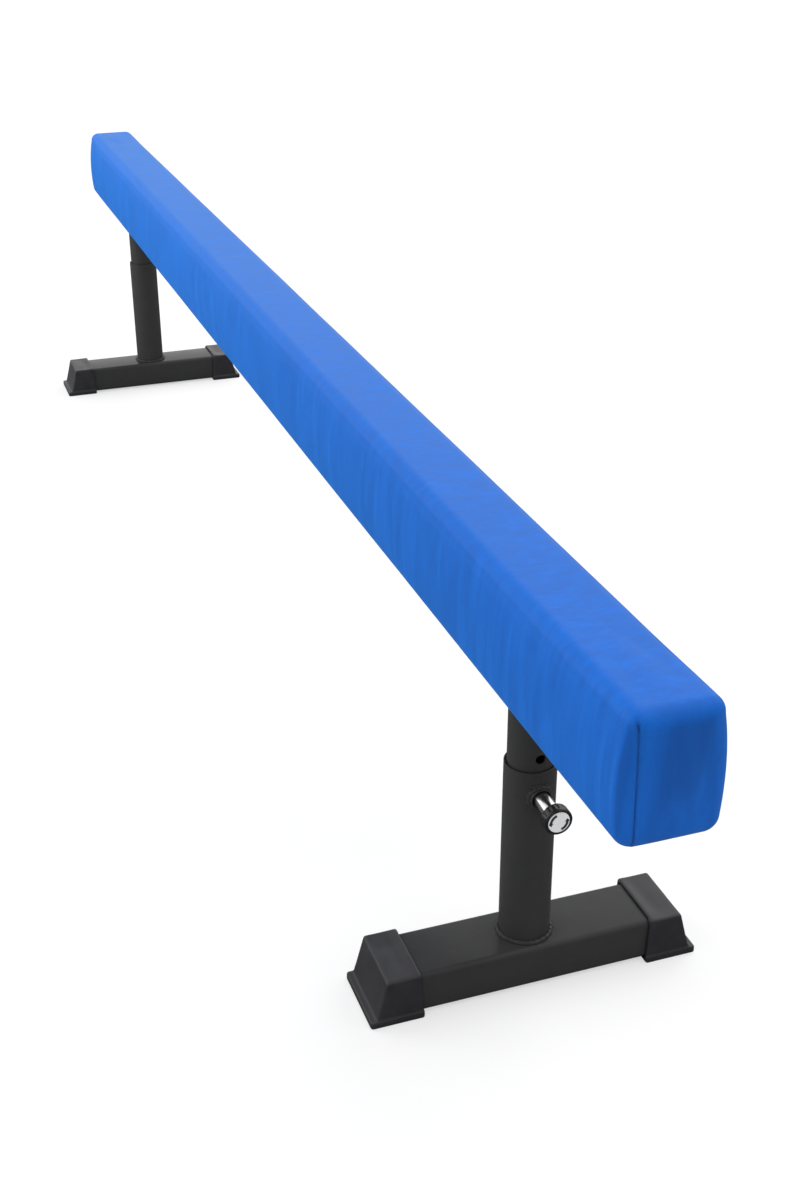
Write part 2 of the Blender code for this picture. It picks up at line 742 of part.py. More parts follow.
def make_stand(prefix, place, materials):
    """One T stand with its feet, upright and pull pin."""
    make_base_tube(prefix, place, materials)
    make_foot(f"{prefix}_right_foot", 0, place, materials)
    make_foot(f"{prefix}_left_foot", math.pi, place, materials)
    make_upright(prefix, place, materials)
    make_pin_nut(prefix, place, materials)
    make_pin_barrel(prefix, place, materials)
    make_pin_plunger(prefix, place, materials)
    make_pin_knob(prefix, place, materials)


def main():
    clear_scene()
    materials = make_materials()
    make_core(materials)
    make_foam(materials)
    make_cover(materials)
    for prefix, x, turn in (("near", STAND_X, 0), ("far", -STAND_X, math.pi)):
        place = add_empty(f"{prefix}_upright_axis", (x, 0, 0), turn)
        make_inner_tube(prefix, place, materials)
        make_plate(prefix, place, materials)
        make_stand(prefix, place, materials)


main()
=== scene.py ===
"""Looks for the low balance beam: suede cover, painted T stands, rubber boots and pull pins.

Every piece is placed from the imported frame.  The near and far stands share their meshes:
a stand is modelled once in its own frame, with the upright's axis on Z and the pull pin
on +X, and is then put in place twice.
"""

import json
import random
from math import copysign, cos, pi, radians, sin, sqrt, tau

import bmesh
import bpy
import numpy as np
from mathutils import Matrix, Vector, noise


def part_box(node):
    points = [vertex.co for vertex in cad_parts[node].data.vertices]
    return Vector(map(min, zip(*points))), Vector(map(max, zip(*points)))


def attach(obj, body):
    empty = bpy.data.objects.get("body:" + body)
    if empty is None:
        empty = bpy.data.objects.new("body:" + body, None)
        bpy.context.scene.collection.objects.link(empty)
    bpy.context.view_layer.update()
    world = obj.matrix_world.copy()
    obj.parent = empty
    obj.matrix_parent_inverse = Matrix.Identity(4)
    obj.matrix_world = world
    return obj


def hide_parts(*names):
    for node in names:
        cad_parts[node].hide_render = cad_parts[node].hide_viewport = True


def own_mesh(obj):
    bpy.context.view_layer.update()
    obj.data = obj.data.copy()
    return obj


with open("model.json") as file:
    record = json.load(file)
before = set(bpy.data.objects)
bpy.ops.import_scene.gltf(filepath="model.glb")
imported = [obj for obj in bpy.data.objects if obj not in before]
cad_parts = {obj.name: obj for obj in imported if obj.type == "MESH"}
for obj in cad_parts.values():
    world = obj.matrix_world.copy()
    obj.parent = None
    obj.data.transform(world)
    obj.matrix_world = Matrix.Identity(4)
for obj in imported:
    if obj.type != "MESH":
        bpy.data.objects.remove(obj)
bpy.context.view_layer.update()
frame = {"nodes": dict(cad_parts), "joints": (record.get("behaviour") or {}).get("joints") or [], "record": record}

BODY_OF = {n: body for body, nodes in frame["record"]["behaviour"]["bodies"].items() for n in nodes}
SLOT_OF = {part["node"]: part["material_slot"] for part in frame["record"]["subparts"]}
JOINTS = {joint["name"]: joint for joint in frame["joints"]}


# ================================================================ frame helpers
def size_of(node):
    low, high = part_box(node)
    return high - low


def middle_of(node):
    low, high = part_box(node)
    return (low + high) / 2


def placed(name, data):
    """A new object in the scene with this mesh, light or camera."""
    item = bpy.data.objects.new(name, data)
    bpy.context.scene.collection.objects.link(item)
    return item


def add_piece(name, mesh, node, place=Matrix.Identity(4), look=None):
    """A detailed piece with a CAD node's body and slot, and its finish if no look is given."""
    piece = placed(name, mesh)
    if not mesh.materials:
        mesh.materials.append(look or LOOKS[SLOT_OF[node]])
    piece.matrix_world = place
    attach(piece, BODY_OF[node])
    return piece


def stand_in(mesh, node, place=Matrix.Identity(4), name=None):
    """A detailed piece that also hides the CAD node that it rides with."""
    piece = add_piece(name or f"{node}_detail", mesh, node, place)
    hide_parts(node)
    return piece


# ================================================================ mesh helpers
def shade(mesh, sharp_angle):
    """Shade smooth, but keep edges sharp that turn by more than this many degrees."""
    mesh.shade_smooth()
    mesh.set_sharp_from_angle(angle=radians(sharp_angle))
    return mesh


def to_mesh(name, bm, sharp_angle=32):
    bmesh.ops.recalc_face_normals(bm, faces=bm.faces)
    mesh = bpy.data.meshes.new(name)
    bm.to_mesh(mesh)
    bm.free()
    return shade(mesh, sharp_angle)


def points_of(mesh):
    points = np.empty(len(mesh.vertices) * 3)
    mesh.vertices.foreach_get("co", points)
    return points.reshape(-1, 3)


def harvest(item, name):
    """Remove an object and return its mesh as the modifiers left it."""
    graph = bpy.context.evaluated_depsgraph_get()
    result = bpy.data.meshes.new_from_object(item.evaluated_get(graph))
    result.name = name
    bpy.data.objects.remove(item, do_unlink=True)
    return result


def settle(mesh, modifiers, name):
    """Run modifiers on a mesh and return the result. Each is (type, {setting: value})."""
    item = placed(name, mesh)
    for kind, settings in modifiers:
        modifier = item.modifiers.new(kind, kind)
        for key, value in settings.items():
            setattr(modifier, key, value)
    return harvest(item, name)


def drilled(mesh, cutters, name):
    """Cut closed bmesh solids out of a mesh, one after the other."""
    for bm in cutters:
        cutter = placed("cutter", to_mesh("cutter", bm))
        settings = {"operation": "DIFFERENCE", "solver": "EXACT", "object": cutter}
        mesh = settle(mesh, [("BOOLEAN", settings)], name)
        bpy.data.objects.remove(cutter, do_unlink=True)
    return mesh


def soft_edges(mesh, width, name):
    """Round off the edges that a cut leaves."""
    settings = {
        "width": width,
        "segments": 2,
        "limit_method": "ANGLE",
        "angle_limit": radians(30),
        "harden_normals": False,
    }
    return shade(settle(mesh, [("BEVEL", settings)], name), 40)


def fillet(points, radius, steps, closed=True):
    """Round every corner of a 2-D outline by at most this radius."""
    count = len(points)
    rounded = []
    for i, corner in enumerate(points):
        if not closed and i in (0, count - 1):
            rounded.append(tuple(corner))
            continue
        here = Vector(corner)
        back = Vector(points[i - 1]) - here
        on = Vector(points[(i + 1) % count]) - here
        reach = min(radius, 0.49 * back.length, 0.49 * on.length)
        start = here + back.normalized() * reach
        stop = here + on.normalized() * reach
        for k in range(steps + 1):
            t = k / steps
            rounded.append(tuple((1 - t) ** 2 * start + 2 * t * (1 - t) * here + t * t * stop))
    return rounded


def bridge(bm, rings, closed_loop):
    pairs = list(zip(rings, rings[1:]))
    if closed_loop:
        pairs.append((rings[-1], rings[0]))
    for lower, upper in pairs:
        count = max(len(lower), len(upper))
        for i in range(count):
            j = (i + 1) % count
            corners = [lower[i % len(lower)], lower[j % len(lower)]]
            corners += [upper[j % len(upper)], upper[i % len(upper)]]
            bm.faces.new(list(dict.fromkeys(corners)))


def polar(radius, angle, height):
    return (radius * cos(angle), radius * sin(angle), height)


def circle(sides):
    """(cos, sin) at even steps round a circle."""
    angles = [tau * i / sides for i in range(sides)]
    return [(cos(angle), sin(angle)) for angle in angles]


def turned(profile, sides, reach=None):
    """Turn (radius, height) points about Z. Points on the axis close the solid.

    reach(radius, height, angle) may reshape a ring, for flutes or hexagons.
    """
    bm = bmesh.new()
    rings = []
    for radius, height in profile:
        if radius <= 0:
            rings.append([bm.verts.new((0, 0, height))])
            continue
        ring = []
        for i in range(sides):
            angle = tau * i / sides
            r = reach(radius, height, angle) if reach else radius
            ring.append(bm.verts.new(polar(r, angle, height)))
        rings.append(ring)
    bridge(bm, rings, closed_loop=profile[0][0] > 0)
    return bm


def rod(radius, low, high, sides):
    return turned([(0, low), (radius, low), (radius, high), (0, high)], sides)


def turned_sections(sections):
    """Join closed (radius, height) sections, set at even angles round Z, into a ring."""
    bm = bmesh.new()
    rings = []
    for i, section in enumerate(sections):
        angle = tau * i / len(sections)
        rings.append([bm.verts.new(polar(r, angle, h)) for r, h in section])
    bridge(bm, rings, closed_loop=True)
    return bm


def tube_ring(outer, wall, low, high, rim):
    """Profile of a tube whose end rims are rounded."""
    corners = [(outer - wall, low), (outer, low), (outer, high), (outer - wall, high)]
    return fillet(corners, rim, steps=3)


def quarter_arc(centre, radius, quarter, steps):
    """Points of a quarter circle, both ends included. Quarter 0 starts at the first axis."""
    points = []
    for i in range(steps + 1):
        angle = pi / 2 * (quarter + i / steps)
        points.append((centre[0] + radius * cos(angle), centre[1] + radius * sin(angle)))
    return points


def rounded_rectangle(width, height, radius, steps=8):
    points = []
    for quarter, (sx, sy) in enumerate(((1, 1), (-1, 1), (-1, -1), (1, -1))):
        centre = (sx * (width / 2 - radius), sy * (height / 2 - radius))
        points += quarter_arc(centre, radius, quarter, steps)
    return points


def loft(loops, bm=None):
    """Join outlines into a solid with flat ends, in a given bmesh or a new one."""
    if bm is None:
        bm = bmesh.new()
    rings = [[bm.verts.new(point) for point in loop] for loop in loops]
    bridge(bm, rings, closed_loop=False)
    bm.faces.new(rings[0])
    bm.faces.new(rings[-1])
    return bm


def towards_pin(bm, height):
    """Swing a shape made along +Z so that it points along +X, at this height."""
    for vertex in bm.verts:
        x, y, z = vertex.co
        vertex.co = (z, y, height - x)
    return bm


def ripple(x, y, z=0.0):
    """Smooth noise from -1 to 1."""
    return noise.noise(Vector((x, y, z)))


def smoothstep(value, low, high):
    t = np.clip((value - low) / (high - low), 0, 1)
    return t * t * (3 - 2 * t)


def between(value, low, high, fade):
    """1 between two limits and 0 outside them, with soft steps this wide either way."""
    return smoothstep(value, low - fade, low + fade) * (1 - smoothstep(value, high - fade, high + fade))


def bell(value, width):
    return np.exp(-((value / width) ** 2))


# ================================================================ materials
def node_output(tree, kind, output, inputs=None, **settings):
    """Add a shader node and return an output. An input is a value or another node's output."""
    node = tree.nodes.new(kind)
    for key, value in settings.items():
        setattr(node, key, value)
    for socket, value in (inputs or {}).items():
        if isinstance(value, bpy.types.NodeSocket):
            tree.links.new(value, node.inputs[socket])
        else:
            node.inputs[socket].default_value = value
    return node.outputs[output]


class Look:
    """A Principled material with short calls for the node chains that the finishes share."""

    def __init__(self, name, **uniform):
        self.material = bpy.data.materials.new(name)
        self.material.use_nodes = True
        self.tree = self.material.node_tree
        self.shader = self.tree.nodes["Principled BSDF"]
        self.place = self.add("ShaderNodeTexCoord", "Object")
        for socket, value in uniform.items():
            self.shader.inputs[socket.replace("_", " ")].default_value = value

    def add(self, kind, output, inputs=None, **settings):
        return node_output(self.tree, kind, output, inputs, **settings)

    def noise(self, scale, detail=3.0, roughness=0.55, stretch=(1, 1, 1)):
        place = self.add("ShaderNodeMapping", "Vector", {"Vector": self.place, "Scale": stretch})
        inputs = {"Vector": place, "Scale": scale, "Detail": detail, "Roughness": roughness}
        return self.add("ShaderNodeTexNoise", "Fac", inputs)

    def cells(self, scale):
        return self.add("ShaderNodeTexVoronoi", "Distance", {"Vector": self.place, "Scale": scale})

    def fit(self, value, low, high, start=0.3, stop=0.7):
        """Stretch a value from start..stop to low..high, easing at both ends."""
        inputs = {"Value": value, "From Min": start, "From Max": stop, "To Min": low, "To Max": high}
        return self.add("ShaderNodeMapRange", "Result", inputs, interpolation_type="SMOOTHSTEP")

    def math(self, operation, a, b):
        return self.add("ShaderNodeMath", "Value", {0: a, 1: b}, operation=operation)

    def blend(self, share, first, second):
        """Mix two colours, each an (r, g, b) or a colour output, by a share."""
        inputs = {0: share}
        for socket, colour in ((6, first), (7, second)):
            inputs[socket] = (*colour, 1.0) if isinstance(colour, tuple) else colour
        return self.add("ShaderNodeMix", 2, inputs, data_type="RGBA")

    def tones(self, value, dark, light):
        return self.blend(self.fit(value, 0, 1), dark, light)

    def stored(self, name):
        return self.add("ShaderNodeAttribute", "Fac", attribute_name=name)

    def rubbed(self, tone, edge_tone, share, start, stop):
        """Let a second colour show along outer edges, where pointiness passes 0.5."""
        edges = self.add("ShaderNodeNewGeometry", "Pointiness")
        return self.blend(self.fit(edges, 0.0, share, start, stop), tone, edge_tone)

    def bump(self, height, strength, distance):
        inputs = {"Strength": strength, "Distance": distance, "Height": height}
        previous = self.shader.inputs["Normal"].links
        if previous:
            inputs["Normal"] = previous[0].from_socket
        self.use(Normal=self.add("ShaderNodeBump", "Normal", inputs))

    def use(self, **channels):
        for socket, value in channels.items():
            self.tree.links.new(value, self.shader.inputs[socket.replace("_", " ")])
        return self.material


def suede_look():
    """Short-pile blue suede: brushed vertical streaks, soft blotches, fine pile, sheen, and painted shade in its
    seams and gathers.
    """
    look = Look(
        "blue_suede",
        Specular_IOR_Level=0.17,
        Sheen_Weight=0.22,
        Sheen_Roughness=0.35,
        Sheen_Tint=(0.01, 0.52, 1.0, 1.0),
    )
    streaks = look.noise(1.0, 3.0, 0.6, stretch=(62, 30, 8))
    strokes = look.noise(1.0, 2.0, 0.6, stretch=(230, 80, 7))
    blotches = look.noise(1.0, 2.0, 0.5, stretch=(9, 12, 10))
    pile = look.noise(950, 2.0, 0.6)
    tone = look.tones(streaks, (0.0018, 0.100, 0.485), (0.0028, 0.132, 0.605))
    tone = look.blend(look.fit(blotches, 0.0, 0.30), tone, (0.0018, 0.096, 0.455))
    tone = look.blend(look.fit(strokes, 0.0, 0.32), tone, (0.0014, 0.084, 0.405))
    tone = look.blend(look.fit(pile, 0.0, 0.26), tone, (0.0042, 0.168, 0.705))
    # painted shade: a deep blue in the seam grooves, the seam's top notch and the end face's gathers
    tone = look.blend(look.stored("crease_shade"), tone, (0.0030, 0.030, 0.150))
    rough = look.math("ADD", look.fit(streaks, 0.47, 0.53), look.fit(pile, -0.03, 0.03))
    look.bump(pile, 0.22, 0.0004)
    look.bump(streaks, 0.035, 0.0016)
    return look.use(Base_Color=tone, Roughness=rough)


def nonwoven_look():
    """Black non-woven lining cloth: matted fibres with a faint pressed dot pattern."""
    look = Look("black_lining", Specular_IOR_Level=0.25, Sheen_Weight=0.2, Sheen_Roughness=0.5)
    fibres = look.noise(1.0, 5.0, 0.7, stretch=(240, 900, 900))
    dots = look.cells(420)
    tone = look.tones(fibres, (0.010, 0.010, 0.011), (0.030, 0.030, 0.032))
    tone = look.blend(look.fit(dots, 0.35, 0.0, 0.0, 0.5), tone, (0.008, 0.008, 0.009))
    look.bump(fibres, 0.5, 0.0003)
    look.bump(dots, 0.3, 0.0003)
    return look.use(Base_Color=tone, Roughness=look.fit(fibres, 0.95, 0.80))


def foam_look():
    """Open-cell grey foam with paler and darker patches."""
    look = Look("grey_foam", Specular_IOR_Level=0.2)
    cells = look.cells(900)
    patches = look.noise(14)
    tone = look.tones(patches, (0.23, 0.23, 0.25), (0.34, 0.34, 0.36))
    tone = look.blend(look.fit(cells, 0.45, 0.0, 0.0, 0.6), tone, (0.12, 0.12, 0.13))
    look.bump(cells, 0.6, 0.0006)
    return look.use(Base_Color=tone, Roughness=look.fit(patches, 0.90, 0.98))


def timber_look():
    """Softwood with its grain along the beam."""
    look = Look("softwood", Specular_IOR_Level=0.3)
    grain = look.noise(1.0, 6.0, 0.65, stretch=(1.6, 70, 70))
    pores = look.noise(1.0, 3.0, 0.6, stretch=(30, 900, 900))
    tone = look.tones(grain, (0.36, 0.21, 0.10), (0.60, 0.42, 0.24))
    tone = look.blend(look.fit(pores, 0.4, 0.0), tone, (0.28, 0.16, 0.08))
    look.bump(grain, 0.25, 0.0006)
    look.bump(pores, 0.3, 0.0003)
    return look.use(Base_Color=tone, Roughness=look.fit(grain, 0.62, 0.80))


def paint_look():
    """Semi-gloss black powder coat: faint orange peel, handling smudges, rubbed edges."""
    look = Look("black_powder_coat", Specular_IOR_Level=0.10)
    smudges = look.noise(26, 4.0, 0.6)
    peel = look.noise(520, 2.0, 0.5)
    scuffs = look.noise(1.0, 5.0, 0.7, stretch=(40, 40, 260))
    tone = look.tones(smudges, (0.0400, 0.0400, 0.0401), (0.0430, 0.0430, 0.0429))
    tone = look.rubbed(tone, (0.050, 0.050, 0.050), 0.5, 0.52, 0.62)
    rough = look.math("ADD", look.fit(smudges, 0.20, 0.25), look.fit(scuffs, 0.0, 0.04, 0.5, 0.75))
    look.bump(peel, 0.03, 0.0003)
    return look.use(Base_Color=tone, Roughness=rough)


def rubber_look():
    """Satin moulded rubber with a fine spark-eroded grain, paler along its outer edges."""
    look = Look("black_rubber", Specular_IOR_Level=0.26)
    bloom = look.noise(34, 4.0, 0.6)
    grain = look.noise(1500, 2.0, 0.5)
    tone = look.tones(bloom, (0.0255, 0.0252, 0.0280), (0.0325, 0.0322, 0.0358))
    tone = look.rubbed(tone, (0.044, 0.044, 0.048), 0.6, 0.51, 0.58)
    look.bump(grain, 0.12, 0.0003)
    look.bump(bloom, 0.08, 0.0015)
    return look.use(Base_Color=tone, Roughness=look.fit(bloom, 0.34, 0.46))


def plastic_look(name, dark, light, rough):
    """Hard plastic or ink, paler along its outer edges. rough is (lowest, highest)."""
    look = Look(name, Specular_IOR_Level=0.45)
    cloud = look.noise(120)
    grain = look.noise(2200, 2.0)
    tone = look.rubbed(look.tones(cloud, dark, light), tuple(3 * c for c in light), 0.5, 0.52, 0.62)
    look.bump(grain, 0.10, 0.0002)
    return look.use(Base_Color=tone, Roughness=look.fit(cloud, *rough))


def metal_look(name, dark, light, rough, stretch):
    """Plated steel with fine drawn lines along one direction. rough is (lowest, highest)."""
    look = Look(name, Metallic=1.0)
    cloud = look.noise(160, 4.0)
    lines = look.noise(1.0, 4.0, 0.6, stretch=stretch)
    roughness = look.math("ADD", look.fit(cloud, *rough), look.fit(lines, -0.03, 0.05))
    look.bump(lines, 0.06, 0.0002)
    return look.use(Base_Color=look.tones(cloud, dark, light), Roughness=roughness)


def label_look():
    """A glossy printed white label."""
    look = Look("white_label", Specular_IOR_Level=0.5, Coat_Weight=0.3, Coat_Roughness=0.1)
    cloud = look.noise(260, 4.0)
    look.bump(cloud, 0.04, 0.0002)
    tone = look.tones(cloud, (0.95, 0.955, 0.96), (0.985, 0.99, 0.99))
    return look.use(Base_Color=tone, Roughness=look.fit(cloud, 0.28, 0.40))


PLASTIC = ((0.008, 0.008, 0.008), (0.014, 0.013, 0.013), (0.30, 0.42))
PRINT = ((0.012, 0.012, 0.013), (0.020, 0.020, 0.021), (0.25, 0.35))
CHROME = ((0.66, 0.65, 0.64), (0.80, 0.79, 0.77), (0.10, 0.18), (60, 900, 900))
ZINC = ((0.42, 0.43, 0.43), (0.62, 0.62, 0.60), (0.28, 0.42), (500, 500, 90))
LOOKS = {
    "suede": suede_look(),
    "strip": nonwoven_look(),
    "foam": foam_look(),
    "timber": timber_look(),
    "black_paint": paint_look(),
    "rubber": rubber_look(),
    "black_plastic": plastic_look("black_plastic", *PLASTIC),
    "chrome": metal_look("bright_chrome", *CHROME),
    "zinc_steel": metal_look("zinc_plate", *ZINC),
    "label_print": label_look(),
}
INK = plastic_look("label_ink", *PRINT)


# ================================================================ suede cover
TOP_HALF = 0.04755  # half width of the outline where the top corners begin
BOTTOM_HALF = 0.0517
SIDE_BULGE = 0.0040
TOP_CORNER = 0.0164
BOTTOM_CORNER = 0.0186
END_CORNER = 0.0166
END_BULGE = 0.0030
DOME_POWER = 1.3
DEEPEST_INSET = 0.0440  # the innermost ring of the end face
LEAST_CORNER = 0.003  # the end face's inner rings keep at least this roundness
HEM_HALF = 0.0275  # the cover's hem is tucked up behind the lining inside this
HEM_TUCK = 0.0012
PANEL_LIMITS = (-0.0016, 0.0012)  # how far the simulated cloth may leave the CAD surface
BEAM_LOW, BEAM_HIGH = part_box("suede_cover")
BEAM_END = BEAM_HIGH.x
RUN_END = BEAM_END - END_BULGE - END_CORNER  # where the straight run meets the end's corner
BEAM_MIDDLE_Z = (BEAM_LOW.z + BEAM_HIGH.z) / 2
BEAM_HALF_DEPTH = (BEAM_HIGH.z - BEAM_LOW.z) / 2


def beam_outline(inset, counts, bulge):
    """(y, z) points round the beam, from the middle of the underside, moved in by the inset."""
    flat, corner, side, top = counts
    top_half, bottom_half = TOP_HALF - inset, BOTTOM_HALF - inset
    low, high = BEAM_LOW.z + inset, BEAM_HIGH.z - inset
    top_r, bottom_r = max(TOP_CORNER - inset, LEAST_CORNER), max(BOTTOM_CORNER - inset, LEAST_CORNER)
    half = [((bottom_half - bottom_r) * i / flat, low) for i in range(flat)]
    half += quarter_arc((bottom_half - bottom_r, low + bottom_r), bottom_r, -1, corner)[:-1]
    for i in range(side):
        t = i / side
        y = bottom_half * (1 - t) + top_half * t + bulge * 4 * t * (1 - t)
        half.append((y, (low + bottom_r) * (1 - t) + (high - top_r) * t))
    half += quarter_arc((top_half - top_r, high - top_r), top_r, 0, corner)[:-1]
    half += [((top_half - top_r) * (1 - i / top), high) for i in range(top)]
    half.append((0.0, high))
    mirrored = [(-y, z) for y, z in half[-2:0:-1]]
    return np.array(half + mirrored)


def end_profile(insets, arc_steps, bulge):
    """(x, inset) from the middle of the near end face out to the straight run."""
    stations = [(BEAM_END, inset) for inset in insets]
    for i in range(arc_steps + 1):
        angle = pi / 2 * i / arc_steps
        x = BEAM_END - bulge - END_CORNER * (1 - cos(angle))
        stations.append((x, END_CORNER * (1 - sin(angle))))
    return stations


def end_dome(y, z, bulge):
    """x of the padded end face: fullest in the middle, flat at its rim."""
    t = (z - BEAM_LOW.z) / (2 * BEAM_HALF_DEPTH)
    half_width = BOTTOM_HALF + (TOP_HALF - BOTTOM_HALF) * t - END_CORNER
    half_height = BEAM_HALF_DEPTH - END_CORNER
    across = np.cos(np.pi / 2 * np.clip(y / half_width, -1, 1))
    up = np.cos(np.pi / 2 * np.clip((z - BEAM_MIDDLE_Z) / half_height, -1, 1))
    return BEAM_END - bulge * (1 - np.maximum(across * up, 0) ** DOME_POWER)


def cover_grid(end_stations, run, counts, side_bulge, end_bulge):
    """Grid of points, rings by points round, from the near end face to the far one."""
    near = list(end_stations)
    far = [(-x, inset) for x, inset in reversed(near)]
    rings = []
    for x, inset in near + [(x, 0.0) for x in run] + far:
        outline = beam_outline(inset, counts, side_bulge)
        along = np.full(len(outline), x)
        if inset > END_CORNER:
            along = copysign(1, x) * end_dome(outline[:, 0], outline[:, 1], end_bulge)
        rings.append(np.column_stack([along, outline]))
    return np.array(rings)


def grid_normals(grid):
    along = np.gradient(grid, axis=0)
    padded = np.concatenate([grid[:, -1:], grid, grid[:, :1]], axis=1)
    across = (padded[:, 2:] - padded[:, :-2]) / 2
    normal = np.cross(across, along)
    length = np.linalg.norm(normal, axis=2, keepdims=True)
    normal = normal / np.maximum(length, 1e-12)
    middle = len(grid) // 2
    from_axis = (grid[middle] - (0, 0, BEAM_MIDDLE_Z)) * (0, 1, 1)
    return normal * np.sign(np.sum(normal[middle] * from_axis))


def grid_mesh(name, grid):
    """Close a ring grid into one skin, with the slit at each end filled across."""
    rings, around = grid.shape[:2]
    bm = bmesh.new()
    verts = [[bm.verts.new(grid[i, j]) for j in range(around)] for i in range(rings)]
    bridge(bm, verts, closed_loop=False)
    for ring in (verts[0], verts[-1]):
        for j in range(around // 2):
            corners = [ring[j], ring[j + 1], ring[-(j + 1) % around], ring[-j % around]]
            bm.faces.new(list(dict.fromkeys(corners)))
    return to_mesh(name, bm, 80)


SIM_FRAMES = 18
CLOTH = {
    "quality": 5,
    "mass": 0.25,
    "tension_stiffness": 18,
    "compression_stiffness": 12,
    "shear_stiffness": 6,
    "bending_stiffness": 0.6,
    "use_pressure": True,
    "uniform_pressure_force": 5.0,
    "vertex_group_mass": "stapled",
}
COARSE = (5, 4, 14, 7)  # points along the flat, corner, side and top of half an outline
COARSE_RINGS, COARSE_INSETS, COARSE_ARC = 240, 10, 5
FINE = (14, 10, 30, 14)
START_BULGE = 0.35  # the cloth starts with this share of its final fullness
STAPLED_HALF = 0.034  # the underside is held within this of its middle line
WILDEST = 0.003  # a crumpled point of the trial cloth counts for no more than this
SMOOTHING_PASSES = 10
END_SHARE = 0.3  # the cover is drawn tighter at its ends
END_REACH = 0.15  # over this length


def simulate_cover(mesh, pinned):
    """Press the cover outwards as taut cloth, held along its stapled underside."""
    item = placed("cloth_trial", mesh)
    group = item.vertex_groups.new(name="stapled")
    group.add([int(i) for i in pinned], 1.0, "REPLACE")
    cloth = item.modifiers.new("cloth", "CLOTH")
    for key, value in CLOTH.items():
        setattr(cloth.settings, key, value)
    cloth.settings.effector_weights.gravity = 0
    cloth.collision_settings.use_collision = False
    cloth.point_cache.frame_start = 1
    cloth.point_cache.frame_end = SIM_FRAMES
    for step in range(1, SIM_FRAMES + 1):
        bpy.context.scene.frame_set(step)
    result = harvest(item, "cloth_result")
    points = points_of(result)
    bpy.context.scene.frame_set(1)
    bpy.data.meshes.remove(result)
    return points


def stretch_positions(counts):
    """Place of each outline point on a scale that any other point counts share."""
    flat, corner, side, top = counts
    half = []
    for start, count in enumerate((flat, corner, side, corner, top)):
        half += [start + i / count for i in range(count)]
    half.append(5.0)
    return np.array(half + [10 - t for t in half[-2:0:-1]])


def ring_positions(stations, run):
    """Distance of each ring along the skin from the middle of the near end."""
    near = np.array(stations)
    path = np.concatenate([near, [(x, 0.0) for x in run], near[::-1] * (-1, 1)])
    steps = np.linalg.norm(np.diff(path, axis=0), axis=1)
    return np.concatenate([[0], np.cumsum(steps)])


def cloth_offsets(fine_insets, fine_run):
    """How far the simulated cloth stands off the CAD surface, read at the fine grid's points."""
    run = np.linspace(RUN_END, -RUN_END, COARSE_RINGS)[1:-1]
    insets = np.linspace(DEEPEST_INSET, END_CORNER, COARSE_INSETS)[:-1]
    stations = end_profile(insets, COARSE_ARC, END_BULGE)
    target = cover_grid(stations, run, COARSE, SIDE_BULGE, END_BULGE)
    slack = cover_grid(stations, run, COARSE, START_BULGE * SIDE_BULGE, START_BULGE * END_BULGE)
    rings, around = target.shape[:2]
    flat = slack.reshape(-1, 3)
    underside = flat[:, 2] < BEAM_LOW.z + 0.0005
    pinned = np.nonzero(underside & (np.abs(flat[:, 1]) < STAPLED_HALF))[0]
    moved = simulate_cover(grid_mesh("cloth_start", slack), pinned).reshape(rings, around, 3)
    offset = np.sum((moved - target) * grid_normals(target), axis=2)
    offset = np.clip(offset, -WILDEST, WILDEST)
    for _ in range(SMOOTHING_PASSES):
        offset[1:-1] = (offset[:-2] + 2 * offset[1:-1] + offset[2:]) / 4
        offset = (np.roll(offset, 1, axis=1) + 2 * offset + np.roll(offset, -1, axis=1)) / 4
    offset = np.clip(offset, *PANEL_LIMITS)
    near_end = smoothstep(np.abs(target[..., 0]), BEAM_END - END_REACH, BEAM_END - 0.02)
    offset = offset * (1 - (1 - END_SHARE) * near_end)
    closed_t = np.append(stretch_positions(COARSE), 10.0)
    closed = np.concatenate([offset, offset[:, :1]], axis=1)
    around_fine = np.array([np.interp(stretch_positions(FINE), closed_t, row) for row in closed])
    coarse_s = ring_positions(stations, run)
    fine_s = ring_positions(fine_insets, fine_run)
    columns = [np.interp(fine_s, coarse_s, column) for column in around_fine.T]
    return np.array(columns).T


DENSE_INSET = 0.027  # the end face's rings lie closer together outside this inset
CLOSE_STEP, CLOSE_RINGS = 0.0012, 21
FIRST_STEP, STEP_GROWTH, WIDEST_STEP = 0.0014, 1.12, 0.0075
NEAREST_MIDDLE = 0.004  # the last ring of each half lies outside this


def fine_rings():
    """(end stations, straight run) of the fine grid, with its rings closest near the ends."""
    wide = np.linspace(DEEPEST_INSET, DENSE_INSET, 9)[:-1]
    close = np.linspace(DENSE_INSET, END_CORNER, 14)[:-1]
    stations = end_profile(np.concatenate([wide, close]), 20, END_BULGE)
    near = [RUN_END - CLOSE_STEP * i for i in range(1, CLOSE_RINGS + 1)]
    step, x = FIRST_STEP, near[-1]
    while x - step > NEAREST_MIDDLE:
        x -= step
        near.append(x)
        step = min(step * STEP_GROWTH, WIDEST_STEP)
    return stations, near + [-x for x in reversed(near)]


# The end panel is sewn in with a vertical seam at each side.  It sits a little to +Y, so one
# seam shows on the end face and the other lies round the corner, on the +Y side.
SEAM_OUT = 0.0398  # how far from the middle of the end face it runs
SEAM_LEAN = 0.0020  # its foot lies this much nearer the middle
SEAM_LOWEST = 0.3705
SEAM_HIGHEST = 0.4945
SEAM_DEPTH = 0.0017
SEAM_WIDTH = 0.0009
SEAM_LIP = 0.00045
SEAM_WANDER = 0.0004
SEAM_FADE = 0.003  # it dies out over this much at its top and foot
SEAM_SIDE_BACK = 0.0075  # how far behind the corner the hidden seam lies
STITCH = 0.0034
NOTCH_DEPTH = 0.0006  # the dimple at the seam's top
PULL_DEPTH, PULL_WIDTH = 0.0007, 0.011  # how the seam draws the skin in beside it
GATHER_HEIGHT, GATHER_REACH = 0.00045, 0.16
